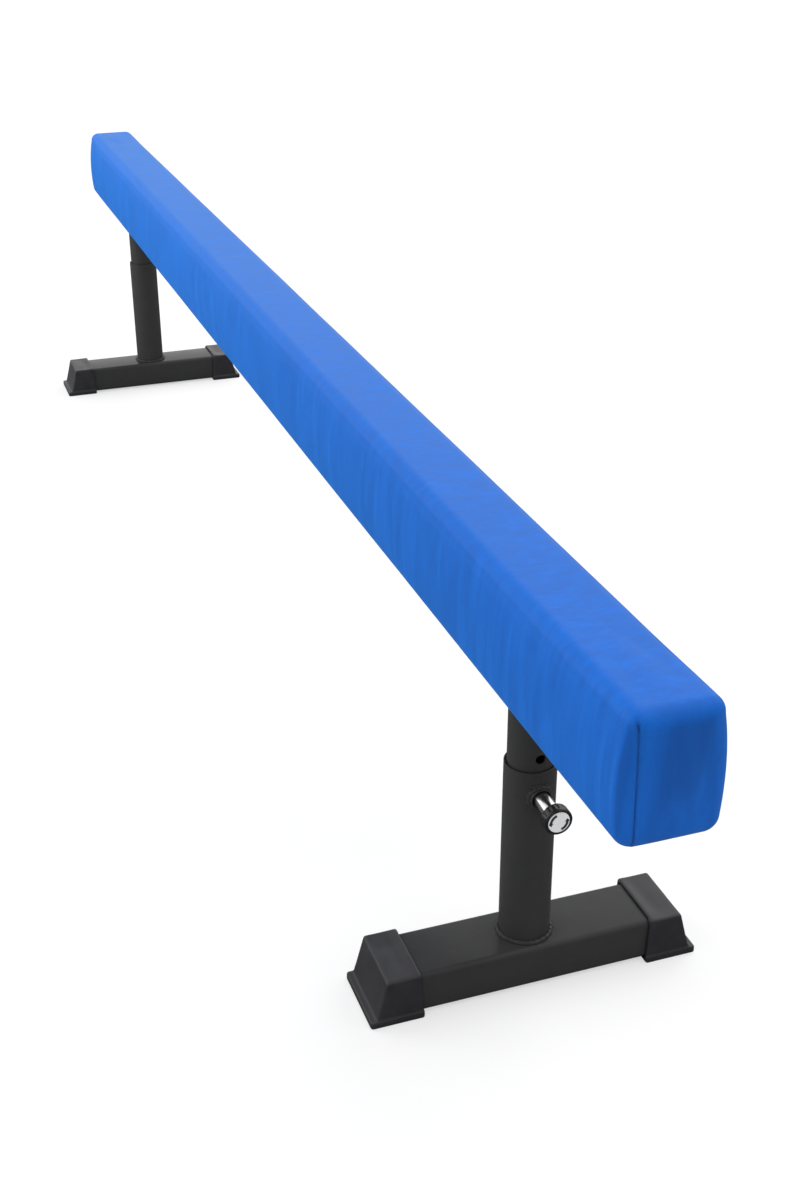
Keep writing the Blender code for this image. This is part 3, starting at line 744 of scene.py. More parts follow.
# (height, waves per metre along x, y and z, seed) of the padding's unevenness
UNEVENNESS = ((0.00030, (5, 7, 9), 21.3), (0.00007, (38, 38, 14), 40.9))
PUCKER_DEPTH = 0.0004  # how the staples dimple the hem


def seam_profile(distance):
    """(groove, lip) of a seam, each from 0 to 1, at a distance from its stitching."""
    return bell(distance, SEAM_WIDTH), bell(np.abs(distance) - 2.6 * SEAM_WIDTH, 1.3 * SEAM_WIDTH)


def noise_field(points, waves, seed):
    """Noise at each point of a grid, with so many waves per metre along x, y and z."""
    wx, wy, wz = waves
    values = [ripple(x * wx + seed, y * wy, z * wz) for x, y, z in points.reshape(-1, 3)]
    return np.array(values).reshape(points.shape[:2])


STAND_X = middle_of("near_upright").x
PLATE_HALF = size_of("near_mounting_plate").x / 2
STAPLE_PITCH = 0.045
SKIN_LIMIT = BEAM_HIGH.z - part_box("foam_wrap")[1].z - 0.0002


def sewn_detail(grid):
    """Offsets for seams, gathers, uneven padding and the stapled hem, and painted shade for the seam grooves, the
    seam's top notch and the end face's gathers.
    """
    x, y, z = np.abs(grid[..., 0]), grid[..., 1], grid[..., 2]
    on_end = smoothstep(x, RUN_END + 0.004, RUN_END + 0.008)
    on_side = (y > TOP_HALF * 0.9) & (x > RUN_END - 0.02)
    in_seam = between(z, SEAM_LOWEST, SEAM_HIGHEST, SEAM_FADE)
    seam_y = -SEAM_OUT + SEAM_LEAN * (SEAM_HIGHEST - z) / (SEAM_HIGHEST - SEAM_LOWEST)
    wander = SEAM_WANDER * noise_field(grid, (0, 0, 60), 3.1)
    face_groove, face_lip = seam_profile(y - seam_y + wander)
    side_groove, side_lip = seam_profile(x - (RUN_END - SEAM_SIDE_BACK) + wander)
    groove = (face_groove * on_end + side_groove * on_side) * in_seam
    lip = (face_lip * on_end + side_lip * on_side) * in_seam
    stitches = 0.5 + 0.5 * np.cos(tau * z / STITCH)
    notch = bell(z - SEAM_HIGHEST + 0.002, 0.004) * face_groove * on_end
    offset = SEAM_LIP * lip - SEAM_DEPTH * groove * (0.82 + 0.18 * stitches) - NOTCH_DEPTH * notch
    # painted shade in the seam's groove and in the notch at its top
    crease_shade = np.clip(0.80 * groove + 0.5 * notch, 0, 1)

    near_end = smoothstep(x, BEAM_END - GATHER_REACH, BEAM_END - 0.02)
    off_rim = between(z, BEAM_LOW.z + 0.012, BEAM_HIGH.z - 0.012, 0.008)
    gathers = noise_field(grid, (55, 48, 5), 8.7)
    offset += GATHER_HEIGHT * gathers * near_end * off_rim
    offset -= PULL_DEPTH * bell(y - seam_y, PULL_WIDTH) * on_end * in_seam * (1 - groove)
    # painted shade in soft bands over the end face's gathers
    crease_shade = np.maximum(crease_shade, 0.30 * smoothstep(gathers, 0.05, 0.45) * on_end * off_rim)
    for height, waves, seed in UNEVENNESS:
        offset += height * noise_field(grid, waves, seed)

    underside = z < BEAM_LOW.z + 0.0004
    from_staple = (grid[..., 0] + STAPLE_PITCH / 2) % STAPLE_PITCH - STAPLE_PITCH / 2
    puckers = bell(from_staple, 0.008) * bell(np.abs(y) - HEM_HALF - 0.002, 0.004)
    tuck = HEM_TUCK * (1 - smoothstep(np.abs(y), HEM_HALF - 0.001, HEM_HALF + 0.0012))
    in_strip = x < size_of("underside_strip").x / 2
    under_plate = np.abs(x - STAND_X) < PLATE_HALF + 0.004
    flattened = np.where(under_plate, np.minimum(offset, 0), offset - PUCKER_DEPTH * puckers)
    offset = np.where(underside, flattened - np.where(in_strip, tuck, 0), offset)
    return offset, crease_shade


def room_inside(grid):
    """How far the skin can sink before it meets the foam, which is fuller at the ends' corners."""
    side = np.abs(grid[..., 1])
    rise = np.abs(grid[..., 2] - BEAM_MIDDLE_Z)
    inset = np.minimum(TOP_HALF - side, BEAM_HALF_DEPTH - rise)
    share = np.clip((inset - END_CORNER) / (DEEPEST_INSET - END_CORNER), 0, 1)
    foam_front = BEAM_END - END_BULGE * (1 - share) ** 2
    sunk = np.where(inset > END_CORNER, foam_front - np.abs(grid[..., 0]), 0)
    return np.maximum(SKIN_LIMIT - np.clip(sunk, 0, None), 0.0002)


def make_cover():
    """The suede cover: the CAD's shape with the cloth's fullness and its sewn detail on top."""
    stations, run = fine_rings()
    grid = cover_grid(stations, run, FINE, SIDE_BULGE, END_BULGE)
    normals = grid_normals(grid)
    detail, crease_shade = sewn_detail(grid)
    offset = cloth_offsets(stations, run) + detail
    offset = np.maximum(offset, -room_inside(grid))
    shaped = grid + normals * offset[..., None]
    mesh = grid_mesh("beam_cover", shaped)
    # the painted shade is stored on the points for the suede look
    attribute = mesh.attributes.new("crease_shade", "FLOAT", "POINT")
    attribute.data.foreach_set("value", crease_shade.astype(np.float32).ravel())
    cover = stand_in(mesh, "suede_cover", name="beam_cover")


# ================================================================ lining and staples
LINING_HALF = 0.0295
LINING_THICKNESS = 0.0008
LINING_FOLD = 0.007
LINING_STEP = 0.006
# shares of the half width at which the lining is divided: close at its hem and the hem's fold
LINING_DIVISIONS = (0.2, 0.5, 0.755, 0.78, 0.9, 0.985, 1)
HEM_DROP = 0.0003  # how much lower the doubled hem lies
HEM_ROUND = 0.00035


def make_lining():
    """The cloth that covers the cover's raw edges, with folded hems."""
    low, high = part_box("underside_strip")
    across = [-share for share in reversed(LINING_DIVISIONS)] + list(LINING_DIVISIONS)
    rows = int((high.x - low.x) / LINING_STEP)
    face_z = low.z + 0.0004
    loops = []
    for i in range(rows + 1):
        x = low.x + (high.x - low.x) * i / rows
        under, over = [], []
        for share in across:
            uneven = 0.0003 * ripple(x * 70, share) if abs(share) > 0.7 else 0
            y = share * (LINING_HALF + uneven)
            drop = HEM_DROP if LINING_HALF * (1 - abs(share)) < LINING_FOLD else 0.0
            wave = 0.00010 * ripple(x * 40, y * 90, 7.7)
            rounded = HEM_ROUND if abs(share) == 1 else 0.0
            under.append((x, y, face_z - drop + wave + rounded))
            over.append((x, y, face_z + LINING_THICKNESS - rounded))
        loops.append(under + over[::-1])
    mesh = to_mesh("underside_lining", loft(loops))
    lining = stand_in(mesh, "underside_strip", name="underside_lining")


STAPLE_WIRE, STAPLE_CROWN, STAPLE_BEND = 0.00055, 0.0095, 0.0008
STAPLE_PROUD, STAPLE_LEG = 0.00045, 0.0016
STAPLE_INSET = 0.004  # how far the staples lie inside the lining's edges
STAPLE_SLIP, STAPLE_SKEW = 0.003, 0.14  # they are set by hand, a little unevenly


def add_staple(bm, place, skew):
    """A flattened wire bent into a crown and two short legs that go up into the timber."""
    centre = (STAPLE_BEND - STAPLE_CROWN / 2, STAPLE_BEND - STAPLE_PROUD)
    path = [(-STAPLE_CROWN / 2, STAPLE_LEG)] + quarter_arc(centre, STAPLE_BEND, 2, 3)
    path += [(-x, z) for x, z in reversed(path)]
    spin = Matrix.Rotation(skew, 3, "Z")
    loops = []
    for i, (x, z) in enumerate(path):
        before, after = path[max(i - 1, 0)], path[min(i + 1, len(path) - 1)]
        direction = Vector((after[0] - before[0], 0, after[1] - before[1])).normalized()
        across = direction.cross(Vector((0, 1, 0))) * 0.6 * STAPLE_WIRE
        section = [Vector((x, STAPLE_WIRE * c, z)) + across * s for c, s in circle(6)]
        loops.append([spin @ point + place for point in section])
    loft(loops, bm)


def make_staples():
    """Wire staples along both edges of the lining, left out where the plates lie."""
    low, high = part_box("underside_strip")
    random.seed(11)
    bm = bmesh.new()
    count = int((high.x - low.x - 0.03) / STAPLE_PITCH)
    for number in range(count + 1):
        for side in (-1, 1):
            x = (number - count / 2) * STAPLE_PITCH + random.uniform(-STAPLE_SLIP, STAPLE_SLIP)
            if abs(abs(x) - STAND_X) < PLATE_HALF + 0.010:
                continue
            skew = random.uniform(-STAPLE_SKEW, STAPLE_SKEW)
            y = side * (LINING_HALF - STAPLE_INSET + random.uniform(-0.0008, 0.0008))
            add_staple(bm, Vector((x, y, low.z + 0.0001)), skew)
    mesh = to_mesh("lining_staples", bm)
    piece = add_piece("lining_staples", mesh, "underside_strip", look=LOOKS["zinc_steel"])


# ================================================================ stands
TUBE_SIDES = 112
PIN_Z = middle_of("near_pin_barrel").z
HOLE_PITCH = -JOINTS["near_height"]["range_m"][0]
LOWEST_HOLE, HIGHEST_HOLE = -2, 1
INNER_WALL, OUTER_WALL, BASE_WALL = 0.0020, 0.00165, 0.0020
PIN_HOLE, BARREL_HOLE = 0.0055, 0.0065
GAP = 0.0003
INNER_RADIUS = size_of("near_inner_tube").y / 2
OUTER_RADIUS = size_of("near_upright").y / 2
PLACES = {
    "near": Matrix.Translation((STAND_X, 0, 0)),
    "far": Matrix.Translation((-STAND_X, 0, 0)) @ Matrix.Rotation(pi, 4, "Z"),
}


def both(suffix, mesh):
    """Put one mesh in place on both stands, each standing in for its CAD node."""
    return [stand_in(mesh, f"{prefix}_{suffix}", place) for prefix, place in PLACES.items()]


SLEEVE_SINK = 0.0016  # the guide sleeve's top lies a little below the upright's rim
SLEEVE_RADIUS = size_of("near_guide_sleeve").y / 2
THIN_RIM, UPRIGHT_RIM, HOLE_RIM = 0.0004, 0.0007, 0.00035  # roundness of the tubes' edges


def drilled_tube(name, outer, wall, rim, sink, hole, heights):
    """A tube in its node's box, its top sunk a little, with holes through its +X wall."""
    low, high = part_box(f"near_{name}")
    tube = turned(tube_ring(outer, wall, low.z, high.z - sink, rim), TUBE_SIDES)
    drills = [towards_pin(rod(hole, 0.5 * outer, 1.6 * outer, 40), z) for z in heights]
    return drilled(to_mesh(name, tube), drills, name)


def make_tubes():
    """The telescoping tubes with their pin holes, and the sleeve that guides them."""
    holes = [PIN_Z + step * HOLE_PITCH for step in range(LOWEST_HOLE, HIGHEST_HOLE + 1)]
    inner = drilled_tube("inner_tube", INNER_RADIUS, INNER_WALL, THIN_RIM, 0, PIN_HOLE, holes)
    both("inner_tube", soft_edges(inner, HOLE_RIM, "inner_tube"))
    outer = drilled_tube("upright", OUTER_RADIUS, OUTER_WALL, UPRIGHT_RIM, 0, BARREL_HOLE, [PIN_Z])
    both("upright", soft_edges(outer, HOLE_RIM, "upright"))
    wall = SLEEVE_RADIUS - INNER_RADIUS - GAP
    sleeve = ("guide_sleeve", SLEEVE_RADIUS, wall, THIN_RIM, SLEEVE_SINK, BARREL_HOLE, [PIN_Z])
    both("guide_sleeve", drilled_tube(*sleeve))


BASE_CORNER = 0.0060


def make_base_tube():
    """A rectangular tube with rounded corners, open at both ends."""
    low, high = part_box("near_base_tube")
    size = high - low
    middle = (low.z + high.z) / 2
    outer = rounded_rectangle(size.x, size.z, BASE_CORNER)
    inner = rounded_rectangle(size.x - 2 * BASE_WALL, size.z - 2 * BASE_WALL, BASE_CORNER - BASE_WALL)
    stations = np.linspace(low.y, high.y, 25)
    runs = [(inner, y) for y in stations[::-1]] + [(outer, y) for y in stations]
    bm = bmesh.new()
    rings = [[bm.verts.new((x, y, middle + z)) for x, z in outline] for outline, y in runs]
    bridge(bm, rings, closed_loop=True)
    both("base_tube", to_mesh("base_tube", bm))


def weld_bead(radius, leg, ripples, rise, seed):
    """A hand-laid fillet weld round a tube: overlapping scales, as many as ripples says.

    rise(radius, angle) is the height of the surface that the bead lies on.
    """
    per_ripple, arc = 10, 7
    steps = per_ripple * ripples
    sections = []
    for i in range(steps):
        angle = tau * i / steps
        wobble = 0.3 * ripple(4 * cos(angle), 4 * sin(angle), seed)
        phase = (i / per_ripple + wobble) % 1.0
        scale = 0.80 + 0.30 * sqrt(max(0.0, 1 - phase ** 2))
        scale *= 1 + 0.22 * ripple(2.2 * cos(angle), 2.2 * sin(angle), seed + 5)
        section = [(radius, rise(radius, angle))]
        for k in range(arc + 1):
            swing = pi / 2 * k / arc
            bulge = leg * scale * (0.90 + 0.16 * sin(2 * swing))
            r = radius + bulge * cos(swing)
            section.append((r, rise(r, angle) + bulge * sin(swing)))
        sections.append(section)
    return turned_sections(sections)


def add_bead_drop(bm, spot, radius, flatten):
    """A drop of weld spatter."""
    drop = bmesh.ops.create_icosphere(bm, subdivisions=2, radius=radius)["verts"]
    for vertex in drop:
        vertex.co.z *= flatten
        vertex.co += Vector(spot)


WELD_SHARP = 60  # degrees: a bead's scales stay soft
BASE_SPATTER = 16
BEAD_GAP = 0.0001  # a bead starts this far off its tube


def make_welds():
    """The beads between upright and base tube, with spatter, and under the mounting plate."""
    base_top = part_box("near_upright")[0].z
    random.seed(21)
    bm = weld_bead(OUTER_RADIUS + BEAD_GAP, 0.0036, 26, rise=lambda r, a: base_top, seed=1.7)
    for _ in range(BASE_SPATTER):
        angle = random.uniform(0, tau)
        reach = OUTER_RADIUS + random.uniform(0.0042, 0.0085)
        size = random.uniform(0.0003, 0.0007)
        add_bead_drop(bm, polar(reach, angle, base_top), size, 0.7)
    both("upright_weld", to_mesh("upright_weld", bm, WELD_SHARP))

    plate_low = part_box("near_mounting_plate")[0].z
    bm = weld_bead(INNER_RADIUS + BEAD_GAP, 0.0032, 22, rise=lambda r, a: 0.0, seed=9.1)
    for vertex in bm.verts:
        vertex.co.z = plate_low - vertex.co.z
    both("plate_weld", to_mesh("plate_weld", bm, WELD_SHARP))


# ---------------------------------------------------------------- pull pin
def pin_piece(suffix, bm, sharp_angle=32):
    """Put a shape made along +Z in place on both pull pins."""
    return both(suffix, to_mesh(suffix, towards_pin(bm, PIN_Z), sharp_angle))


def saddle(distance, angle):
    """Distance from the upright's axis to its surface, at a place round the pin's axis."""
    return sqrt(max(OUTER_RADIUS ** 2 - (distance * sin(angle)) ** 2, 0.0))


def pin_span(node):
    """(start, stop) of a pin piece, as distances from the upright's axis."""
    low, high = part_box(node)
    return low.x - STAND_X, high.x - STAND_X


NUT_SIDES, NUT_EDGE = 72, 0.0009
SPATTER, SPATTER_ABOVE = 44, 26  # drops round the nut, and how many of them lie over it
BARREL_RADIUS = size_of("near_pin_barrel").y / 2


def make_nut():
    """The welded nut, its foot cut to the upright's curve, and its bead with spatter."""
    nut_radius = size_of("near_pin_nut").y / 2
    face = pin_span("near_pin_nut")[1]
    bore = BARREL_RADIUS + 0.0002
    sections = []
    for i in range(NUT_SIDES):
        angle = tau * i / NUT_SIDES
        foot_in, foot_out = saddle(bore, angle) + GAP, saddle(nut_radius, angle) + GAP
        section = [(bore, foot_in), (nut_radius, foot_out), (nut_radius, face), (bore + 0.0006, face)]
        sections.append(fillet(section, NUT_EDGE, steps=3))
    pin_piece("pin_nut", turned_sections(sections))

    random.seed(33)
    bm = weld_bead(nut_radius + BEAD_GAP, 0.0028, 9, rise=saddle, seed=4.4)
    for number in range(SPATTER):
        upper = number < SPATTER_ABOVE
        angle = pi + random.uniform(-1.0, 1.0) if upper else random.uniform(0, tau)
        reach = nut_radius + (random.uniform(0.0010, 0.0050) if upper else random.uniform(0.0030, 0.0080))
        size = random.uniform(0.0009, 0.0018) if upper else random.uniform(0.0004, 0.0010)
        add_bead_drop(bm, polar(reach, angle, saddle(reach, angle)), size, 0.8)
    pin_piece("pin_nut_weld", bm, WELD_SHARP)


def make_barrel():
    """A round barrel that is open inside for the plunger's collar and the spring."""
    start, stop = pin_span("near_pin_barrel")
    nose, cavity, tail = 0.0052, 0.0070, 0.0033
    cavity_start, cavity_stop = start + 0.0014, stop - 0.0032
    profile = [(nose, start), (BARREL_RADIUS, start), (BARREL_RADIUS, stop), (tail, stop)]
    profile += [(tail, cavity_stop), (cavity, cavity_stop), (cavity, cavity_start), (nose, cavity_start)]
    pin_piece("pin_barrel", turned(fillet(profile, 0.0006, steps=3), 72))


SPRING_TURNS = 4
SPRING_WIRE = 0.0005


def make_springs():
    """Round-wire coil springs in the spring node's span, each stand given its own copy of the mesh."""
    start, stop = pin_span("near_pin_spring")
    radius = size_of("near_pin_spring").y / 2 - SPRING_WIRE
    steps = 24 * SPRING_TURNS
    loops = []
    for i in range(steps + 1):
        turn = tau * SPRING_TURNS * i / steps
        height = start + SPRING_WIRE + (stop - start - 2 * SPRING_WIRE) * i / steps
        section = [(radius + SPRING_WIRE * c, height + SPRING_WIRE * s) for c, s in circle(8)]
        loops.append([polar(r, turn, h) for r, h in section])
    pieces = pin_piece("pin_spring", loft(loops), 60)
    for piece, (prefix, place) in zip(pieces, PLACES.items()):
        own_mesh(piece)


KNOB_FLUTES = 12
FLUTE_DEPTH = 0.0007
LABEL_RADIUS = size_of("near_knob_label").y / 2


def make_knob():
    """A fluted cap with a seat for its label, hollow over the barrel's end."""
    start, stop = pin_span("near_pin_knob")
    radius = size_of("near_pin_knob").y / 2
    seat = pin_span("near_knob_label")[0] - 0.0002
    seat_radius = LABEL_RADIUS + 0.0003
    hollow, hollow_end = BARREL_RADIUS + 0.0006, stop - 0.0068
    bore, bore_end = 0.0033, pin_span("near_pin_plunger")[1] + GAP
    grip_low, grip_high = start + 0.0020, stop - 0.0032

    def flutes(r, height, angle):
        inside = grip_low < height < grip_high and r > radius - 0.0004
        wave = max(0.0, cos(KNOB_FLUTES * angle)) ** 2
        return r - (FLUTE_DEPTH * wave if inside else 0.0)

    back = [(bore, bore_end), (bore, hollow_end), (hollow, hollow_end)]
    grip = [(hollow, start), (radius - 0.0006, start), (radius, start + 0.0009)]
    grip += [(radius, grip_low - 0.0001), (radius, grip_low + 0.0006), (radius, grip_high - 0.0006)]
    grip += [(radius, grip_high + 0.0001), (radius, stop - 0.0014), (radius - 0.0012, stop)]
    rim = [(LABEL_RADIUS + 0.0012, stop), (seat_radius, stop - 0.0005), (seat_radius, seat)]
    outline = fillet(back + grip + rim, 0.0004, steps=2, closed=False)
    bm = turned([(0, bore_end)] + outline + [(0, seat)], 8 * KNOB_FLUTES, reach=flutes)
    pin_piece("pin_knob", bm, 40)


LABEL_EDGE = 0.0003
ARROW_HALF, ARROW_HEAD_HALF, ARROW_HEAD_SHARE = 0.0015, 0.0026, 0.22
ARROW_SWEEP = radians(94)
ARROW_STARTS = (radians(108), radians(108) + pi)
ARROW_RADIUS = 0.76 * LABEL_RADIUS
INK_SUNK, INK_PROUD = 0.0001, 0.00012


def make_label():
    """The white disc on each knob, with two turn arrows printed on it."""
    seat, face = pin_span("near_knob_label")
    profile = [(0, seat), (LABEL_RADIUS, seat), (LABEL_RADIUS, face - LABEL_EDGE)]
    profile += [(LABEL_RADIUS - LABEL_EDGE, face), (0, face)]
    pin_piece("knob_label", turned(profile, 96))
    arrows = bmesh.new()
    for start in ARROW_STARTS:
        add_arrow(arrows, start, face)
    mesh = to_mesh("label_arrows", arrows)
    for prefix, place in PLACES.items():
        piece = add_piece(f"{prefix}_label_arrows", mesh, f"{prefix}_knob_label", place, INK)


def add_arrow(bm, start, face):
    """A flat curved arrow on the label, as seen from outside, turning anticlockwise."""
    steps, neck = 16, 1 - ARROW_HEAD_SHARE
    stations = []
    for i in range(steps + 1):
        t = i / steps
        half = ARROW_HALF if t < neck else ARROW_HEAD_HALF * (1 - t) / ARROW_HEAD_SHARE
        stations.append((t, max(half, 0.00005)))
        if t < neck <= (i + 1) / steps:
            stations.append((t + 0.002, ARROW_HEAD_HALF))
    loops = []
    for t, half in stations:
        angle = start + ARROW_SWEEP * t
        corners = ((-INK_SUNK, -half), (-INK_SUNK, half), (INK_PROUD, half), (INK_PROUD, -half))
        loop = []
        for depth, side in corners:
            y, z, x = polar(ARROW_RADIUS + side, angle, face + depth)
            loop.append((x, y, PIN_Z + z))
        loops.append(loop)
    loft(loops, bm)


# ---------------------------------------------------------------- mounting plate and bolts
BOLT_X, BOLT_Y, BOLT_RADIUS = 0.055, 0.0205, 0.0040
BOLT_TURN = 0.7  # radians from one bolt to the next
HEX_CORNER = 1.13  # the hexagon's corners are cut off at this many times its flats
PLATE_CORNER, PLATE_EDGE = 0.008, 0.0005


def make_plate():
    """A flat plate with rounded corners and four bolt holes."""
    low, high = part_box("near_mounting_plate")
    outline = rounded_rectangle(high.x - low.x, high.y - low.y, PLATE_CORNER)
    mesh = to_mesh("plate", loft([[(x, y, z) for x, y in outline] for z in (low.z, high.z)]))
    holes = []
    for x in (-BOLT_X, BOLT_X):
        for y in (-BOLT_Y, BOLT_Y):
            hole = rod(BOLT_RADIUS + GAP, low.z - 0.01, high.z + 0.01, 32)
            bmesh.ops.translate(hole, vec=(x, y, 0), verts=hole.verts)
            holes.append(hole)
    both("mounting_plate", soft_edges(drilled(mesh, holes, "plate"), PLATE_EDGE, "mounting_plate"))


def make_bolts():
    """Hexagon flange bolts, each left at a different turn."""
    low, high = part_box("near_plate_bolt_1")
    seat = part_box("near_mounting_plate")[0].z - GAP
    flange, flats, head = (high.y - low.y) / 2, 0.0065, seat - 0.0075

    def hexagon(r, height, angle):
        if height > seat - 0.0020 or r > flats + 0.0001 or r < 0.0030:
            return r
        off_flat = (angle + pi / 6) % (pi / 3) - pi / 6
        return min(r / cos(off_flat), flats * HEX_CORNER)

    profile = [(0, head), (flats - 0.0008, head), (flats, head + 0.0008), (flats, seat - 0.0024)]
    profile += [(flats + 0.0004, seat - 0.0020), (flange - 0.0004, seat - 0.0012)]
    profile += [(flange, seat - 0.0008), (flange, seat), (BOLT_RADIUS, seat)]
    profile += [(BOLT_RADIUS, high.z - 0.0012), (BOLT_RADIUS - 0.0012, high.z), (0, high.z)]
    mesh = to_mesh("plate_bolt", turned(profile, 72, reach=hexagon), 25)
    for prefix in PLACES:
        for number in range(1, 5):
            node = f"{prefix}_plate_bolt_{number}"
            spot = middle_of(node)
            spin = Matrix.Rotation(BOLT_TURN * number, 4, "Z")
            place = Matrix.Translation((spot.x, spot.y, 0)) @ spin
            stand_in(mesh, node, place)


# ---------------------------------------------------------------- rubber boots
FOOT_TOP_HALF, FOOT_WALL_HALF, FOOT_SOLE_HALF = 0.0427, 0.0436, 0.0452
FOOT_MOUTH_TOP, FOOT_MOUTH_SOLE = 0.1357, 0.1326
FOOT_SLOPE_TOP, FOOT_SLOPE_END, FOOT_LIP = 0.1744, 0.1872, 0.1944
FOOT_LIP_HEIGHT = 0.0085
FOOT_EDGE = 0.0030  # roundness of the top's edges
MOUTH_FLARE = 0.0016  # how far the mouth opens out round the base tube
FOOT_CORNER = 0.0026  # roundness of the upright corners


def boot_levels(top):
    """(height, half width, mouth end, outer end, inset) of the boot, from its sole upwards."""
    lip = FOOT_LIP_HEIGHT
    mouth_foot = FOOT_MOUTH_SOLE + 0.0006
    rim = ((0.0, 0.0005), (0.0007, 0.0), (lip - 0.0010, 0.0), (lip, 0.0006))
    levels = [(z, FOOT_SOLE_HALF, FOOT_MOUTH_SOLE, FOOT_LIP, inset) for z, inset in rim]
    levels.append((lip + 0.0002, FOOT_SOLE_HALF - 0.0009, mouth_foot - 0.0002, FOOT_SLOPE_END + 0.0012, 0.0))
    levels.append((lip + 0.0010, FOOT_WALL_HALF, mouth_foot, FOOT_SLOPE_END, 0.0))

    def wall(z, inset):
        share = (z - lip) / (top - lip)
        half = FOOT_WALL_HALF + (FOOT_TOP_HALF - FOOT_WALL_HALF) * share
        mouth = mouth_foot + (FOOT_MOUTH_TOP - mouth_foot) * share
        slope = FOOT_SLOPE_END + (FOOT_SLOPE_TOP - FOOT_SLOPE_END) * share
        return z, half, mouth, slope, inset

    levels += [wall(z, 0.0) for z in np.linspace(lip + 0.004, top - FOOT_EDGE, 8)]
    for k in range(1, 6):
        angle = pi / 2 * k / 5
        levels.append(wall(top - FOOT_EDGE * (1 - sin(angle)), FOOT_EDGE * (1 - cos(angle))))
    levels += [wall(top, inset) for inset in np.linspace(FOOT_EDGE, 0.019, 8)[1:]]
    return levels


POCKET_SLACK = 0.0008  # how much wider the pocket is than the base tube
POCKET_START = 0.10
SMOOTH_VOXEL, QUICK_VOXEL = 0.0012, 0.0022


def pocket_cutters():
    """The pocket for the base tube's end, and the funnel that opens its mouth."""
    low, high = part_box("near_base_tube")
    width, height = high.x - low.x + POCKET_SLACK, high.z - low.z + POCKET_SLACK
    middle = (low.z + high.z) / 2
    pocket = ((0, POCKET_START), (0, high.y + GAP))
    funnel = ((MOUTH_FLARE + 0.0012, FOOT_MOUTH_SOLE - 0.004), (0, FOOT_MOUTH_TOP + MOUTH_FLARE))
    cutters = []
    for ends in (pocket, funnel):
        loops = []
        for spread, y in ends:
            corner = BASE_CORNER + spread
            outline = rounded_rectangle(width + 2 * spread, height + 2 * spread, corner, steps=4)
            loops.append([(x, y, middle + z) for x, z in outline])
        cutters.append(loft(loops))
    return cutters


def make_boot_mesh():
    """A rubber boot: drafted sides, sloping outer face, lip, soft moulded edges, pillowy top."""
    top = size_of("near_right_foot").z
    loops = []
    for z, half, mouth, outer, inset in boot_levels(top):
        corner = max(FOOT_CORNER - inset, 0.0004)
        outline = rounded_rectangle(2 * (half - inset), outer - mouth - 2 * inset, corner, steps=4)
        loops.append([(x, y + (mouth + outer) / 2, z) for x, y in outline])
    mesh = drilled(to_mesh("boot", loft(loops)), pocket_cutters(), "boot")
    voxel = SMOOTH_VOXEL
    steps = [
        ("REMESH", {"mode": "VOXEL", "voxel_size": voxel, "use_smooth_shade": True}),
        ("SMOOTH", {"factor": 0.5, "iterations": 2}),
    ]
    mesh = settle(mesh, steps, "boot")
    points = points_of(mesh)
    x, y, z = points.T
    across = np.clip(1 - (x / FOOT_TOP_HALF) ** 2, 0, 1)
    on_top = smoothstep(z, top - 0.006, top - 0.002)
    at_mouth = 1 - smoothstep(y, FOOT_MOUTH_TOP + 0.002, FOOT_MOUTH_TOP + 0.012)
    lift = across * (0.0014 * at_mouth - 0.0008 * bell(y - FOOT_MOUTH_TOP - 0.0150, 0.008))
    sag = np.array([ripple(24 * px + 3.1, 30 * py, 1.5) for px, py in zip(x, y)])
    in_slope = smoothstep(y, FOOT_SLOPE_TOP, FOOT_SLOPE_END) * smoothstep(z, 0.012, 0.03)
    points[:, 2] += on_top * (lift + 0.0008 * sag)
    points[:, 1] -= (0.0007 * across + 0.0006 * sag) * in_slope
    mesh.vertices.foreach_set("co", points.ravel())
    mesh.shade_smooth()
    return mesh


def make_boots():
    """The same boot on all four ends of the base tubes."""
    mesh = make_boot_mesh()
    for prefix, place in PLACES.items():
        for side, turn in (("right", 0.0), ("left", pi)):
            stand_in(mesh, f"{prefix}_{side}_foot", place @ Matrix.Rotation(turn, 4, "Z"))


# ================================================================ pieces kept from CAD
def finish_cad_nodes():
    """Give every CAD node its finish, whether or not a detailed piece hides it."""
    for name, node in frame["nodes"].items():
        look = LOOKS[SLOT_OF[name]]
        if node.material_slots:
            for slot in node.material_slots:
                slot.link = "OBJECT"
                slot.material = look
        else:
            node.data.materials.append(look)


# ================================================================ studio
CAMERA_PLACE = (2.3399, -0.5845, 1.1687)
CAMERA_HEADING = 19.1055  # degrees from -X towards +Y
CAMERA_PITCH = 26.9053  # degrees below the horizon
CAMERA_ROLL = -0.2018
CAMERA_LENS = 46.967
SENSOR = 36.0
CLIP_END = 200.0


def facing(place, direction, roll=0.0):
    """Matrix that puts a camera or a light here, looking this way."""
    turn = direction.to_track_quat("-Z", "Y").to_matrix().to_4x4()
    return Matrix.Translation(place) @ turn @ Matrix.Rotation(radians(roll), 4, "Z")


def make_camera():
    heading, pitch = radians(CAMERA_HEADING), radians(CAMERA_PITCH)
    level = Vector((-cos(heading), sin(heading), 0))
    forward = level * cos(pitch) - Vector((0, 0, sin(pitch)))
    data = bpy.data.cameras.new("camera")
    data.lens = CAMERA_LENS
    data.sensor_width = SENSOR
    data.clip_end = CLIP_END
    camera = placed("camera", data)
    camera.matrix_world = facing(CAMERA_PLACE, forward, CAMERA_ROLL)
    bpy.context.scene.camera = camera


SKY_BASE = 0.20
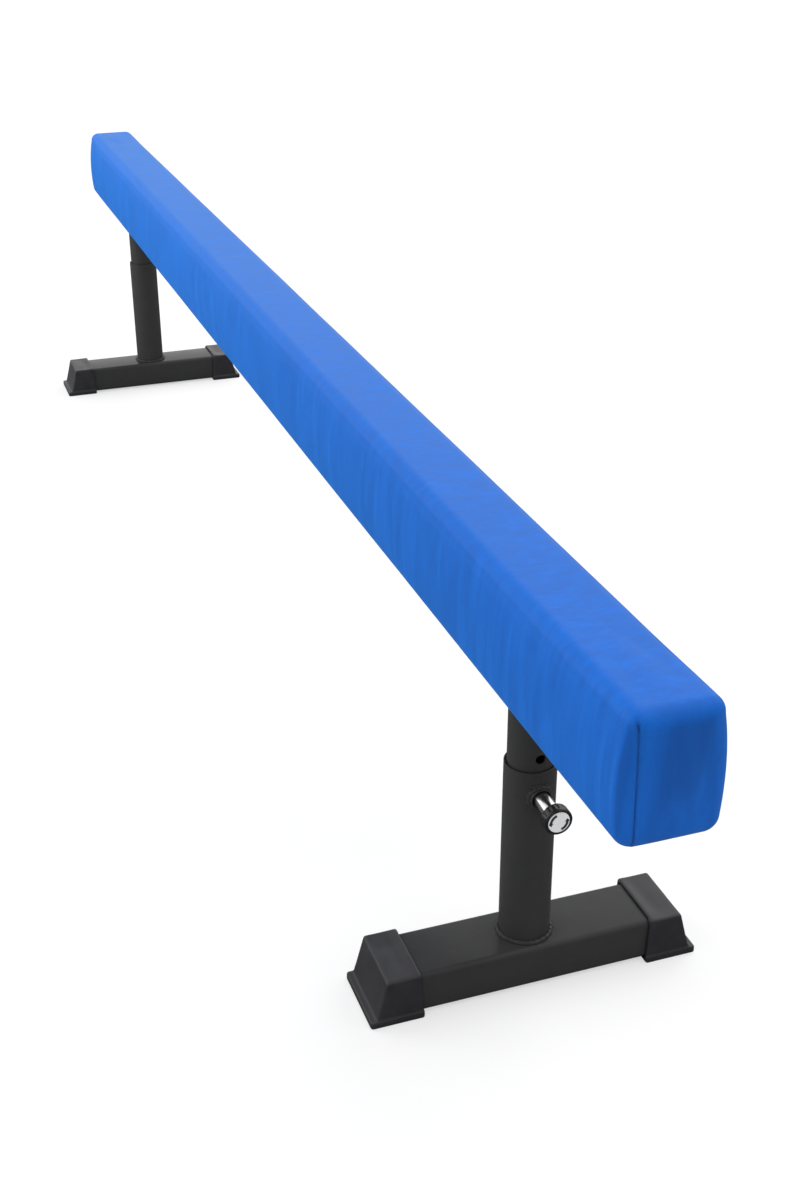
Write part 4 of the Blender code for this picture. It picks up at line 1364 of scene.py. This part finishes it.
# (direction, strength, sharpness) of each soft bright part of the studio's dome
SKY_LOBES = (
    ((0.0, 0.35, 1.0), 1.68, 3.0),
    ((-0.5, 0.8, 0.6), 1.1, 9.0),
    ((-1.0, 0.25, 0.12), 1.2, 7.0),
    ((-0.5, -1.0, 0.05), 2.1, 4.0),
    ((1.0, -0.2, 0.5), 0.42, 2.0),
)
BACKDROP = 1.3  # the plain white behind the floor's edge
SIDE_LIGHT_SIZE = (2.2, 1.4)
SIDE_LIGHT_POWER = 26.0
SIDE_LIGHT_PLACE = (-1.1, -2.1, 0.75)
SIDE_LIGHT_AIM = (-1.1, 0.0, 0.35)
FLOOR_SIZE = 120.0
FLOOR_BOUNCE = 0.58  # how much light the floor gives back to the object
FLOOR_SHEEN = 0.11  # and how bright it shows in the object's own reflections
FLOOR_GLOW = 0.55  # lifts the floor to plain white where the camera sees it
WHITE = (1, 1, 1, 1)


def make_world():
    """A soft dome, brightest overhead and along the long side, that looks plain white itself."""
    world = bpy.data.worlds.new("studio")
    world.use_nodes = True
    bpy.context.scene.world = world
    tree = world.node_tree
    ray = node_output(tree, "ShaderNodeTexCoord", "Generated")
    total = SKY_BASE
    for direction, strength, sharpness in SKY_LOBES:
        inputs = {0: ray, 1: Vector(direction).normalized()}
        value = node_output(tree, "ShaderNodeVectorMath", "Value", inputs, operation="DOT_PRODUCT")
        steps = (("MAXIMUM", 0.0), ("POWER", sharpness), ("MULTIPLY", strength), ("ADD", total))
        for operation, other in steps:
            value = node_output(tree, "ShaderNodeMath", "Value", {0: value, 1: other}, operation=operation)
        total = value
    seen = node_output(tree, "ShaderNodeLightPath", "Is Camera Ray")
    inputs = {"Factor": seen, "A": total, "B": BACKDROP}
    brightness = node_output(tree, "ShaderNodeMix", "Result", inputs)
    background = tree.nodes["Background"]
    tree.links.new(brightness, background.inputs["Strength"])
    background.inputs["Color"].default_value = WHITE


def make_side_light():
    """A wide soft panel on the long side, which lights the far half of the beam more."""
    light = bpy.data.lights.new("side_panel", "AREA")
    light.shape = "RECTANGLE"
    light.size, light.size_y = SIDE_LIGHT_SIZE
    light.energy = SIDE_LIGHT_POWER
    panel = placed("side_panel", light)
    panel.matrix_world = facing(SIDE_LIGHT_PLACE, Vector(SIDE_LIGHT_AIM) - Vector(SIDE_LIGHT_PLACE))
    panel.visible_camera = False
    panel.visible_glossy = False


def make_floor():
    """A white floor that bounces less light than it seems to, and is clear from below."""
    bm = bmesh.new()
    bmesh.ops.create_grid(bm, x_segments=1, y_segments=1, size=FLOOR_SIZE / 2)
    mesh = to_mesh("studio_floor", bm)
    floor = placed("studio_floor", mesh)
    look = Look("pale_floor", Specular_IOR_Level=0.0, Roughness=1.0, Emission_Color=WHITE)
    seen = look.add("ShaderNodeLightPath", "Is Camera Ray")
    mirrored = look.add("ShaderNodeLightPath", "Is Glossy Ray")
    shown = look.tones(look.noise(3.0), (0.40, 0.40, 0.40), (0.42, 0.42, 0.42))
    given_back = look.blend(mirrored, (FLOOR_BOUNCE,) * 3, (FLOOR_SHEEN,) * 3)
    tone = look.blend(seen, given_back, shown)
    look.use(Base_Color=tone, Emission_Strength=look.math("MULTIPLY", seen, FLOOR_GLOW))
    below = look.add("ShaderNodeNewGeometry", "Backfacing")
    clear = look.add("ShaderNodeBsdfTransparent", "BSDF")
    either = look.add("ShaderNodeMixShader", "Shader", {0: below, 1: look.shader.outputs["BSDF"], 2: clear})
    look.tree.links.new(either, look.tree.nodes["Material Output"].inputs["Surface"])
    mesh.materials.append(look.material)


# ================================================================ build
make_camera()
make_world()
make_floor()
make_side_light()
bpy.context.scene.view_settings.view_transform = "Standard"
finish_cad_nodes()
make_cover()
make_lining()
make_staples()
make_tubes()
make_base_tube()
make_welds()
make_nut()
make_barrel()
make_springs()
make_knob()
make_label()
make_plate()
make_bolts()
make_boots()
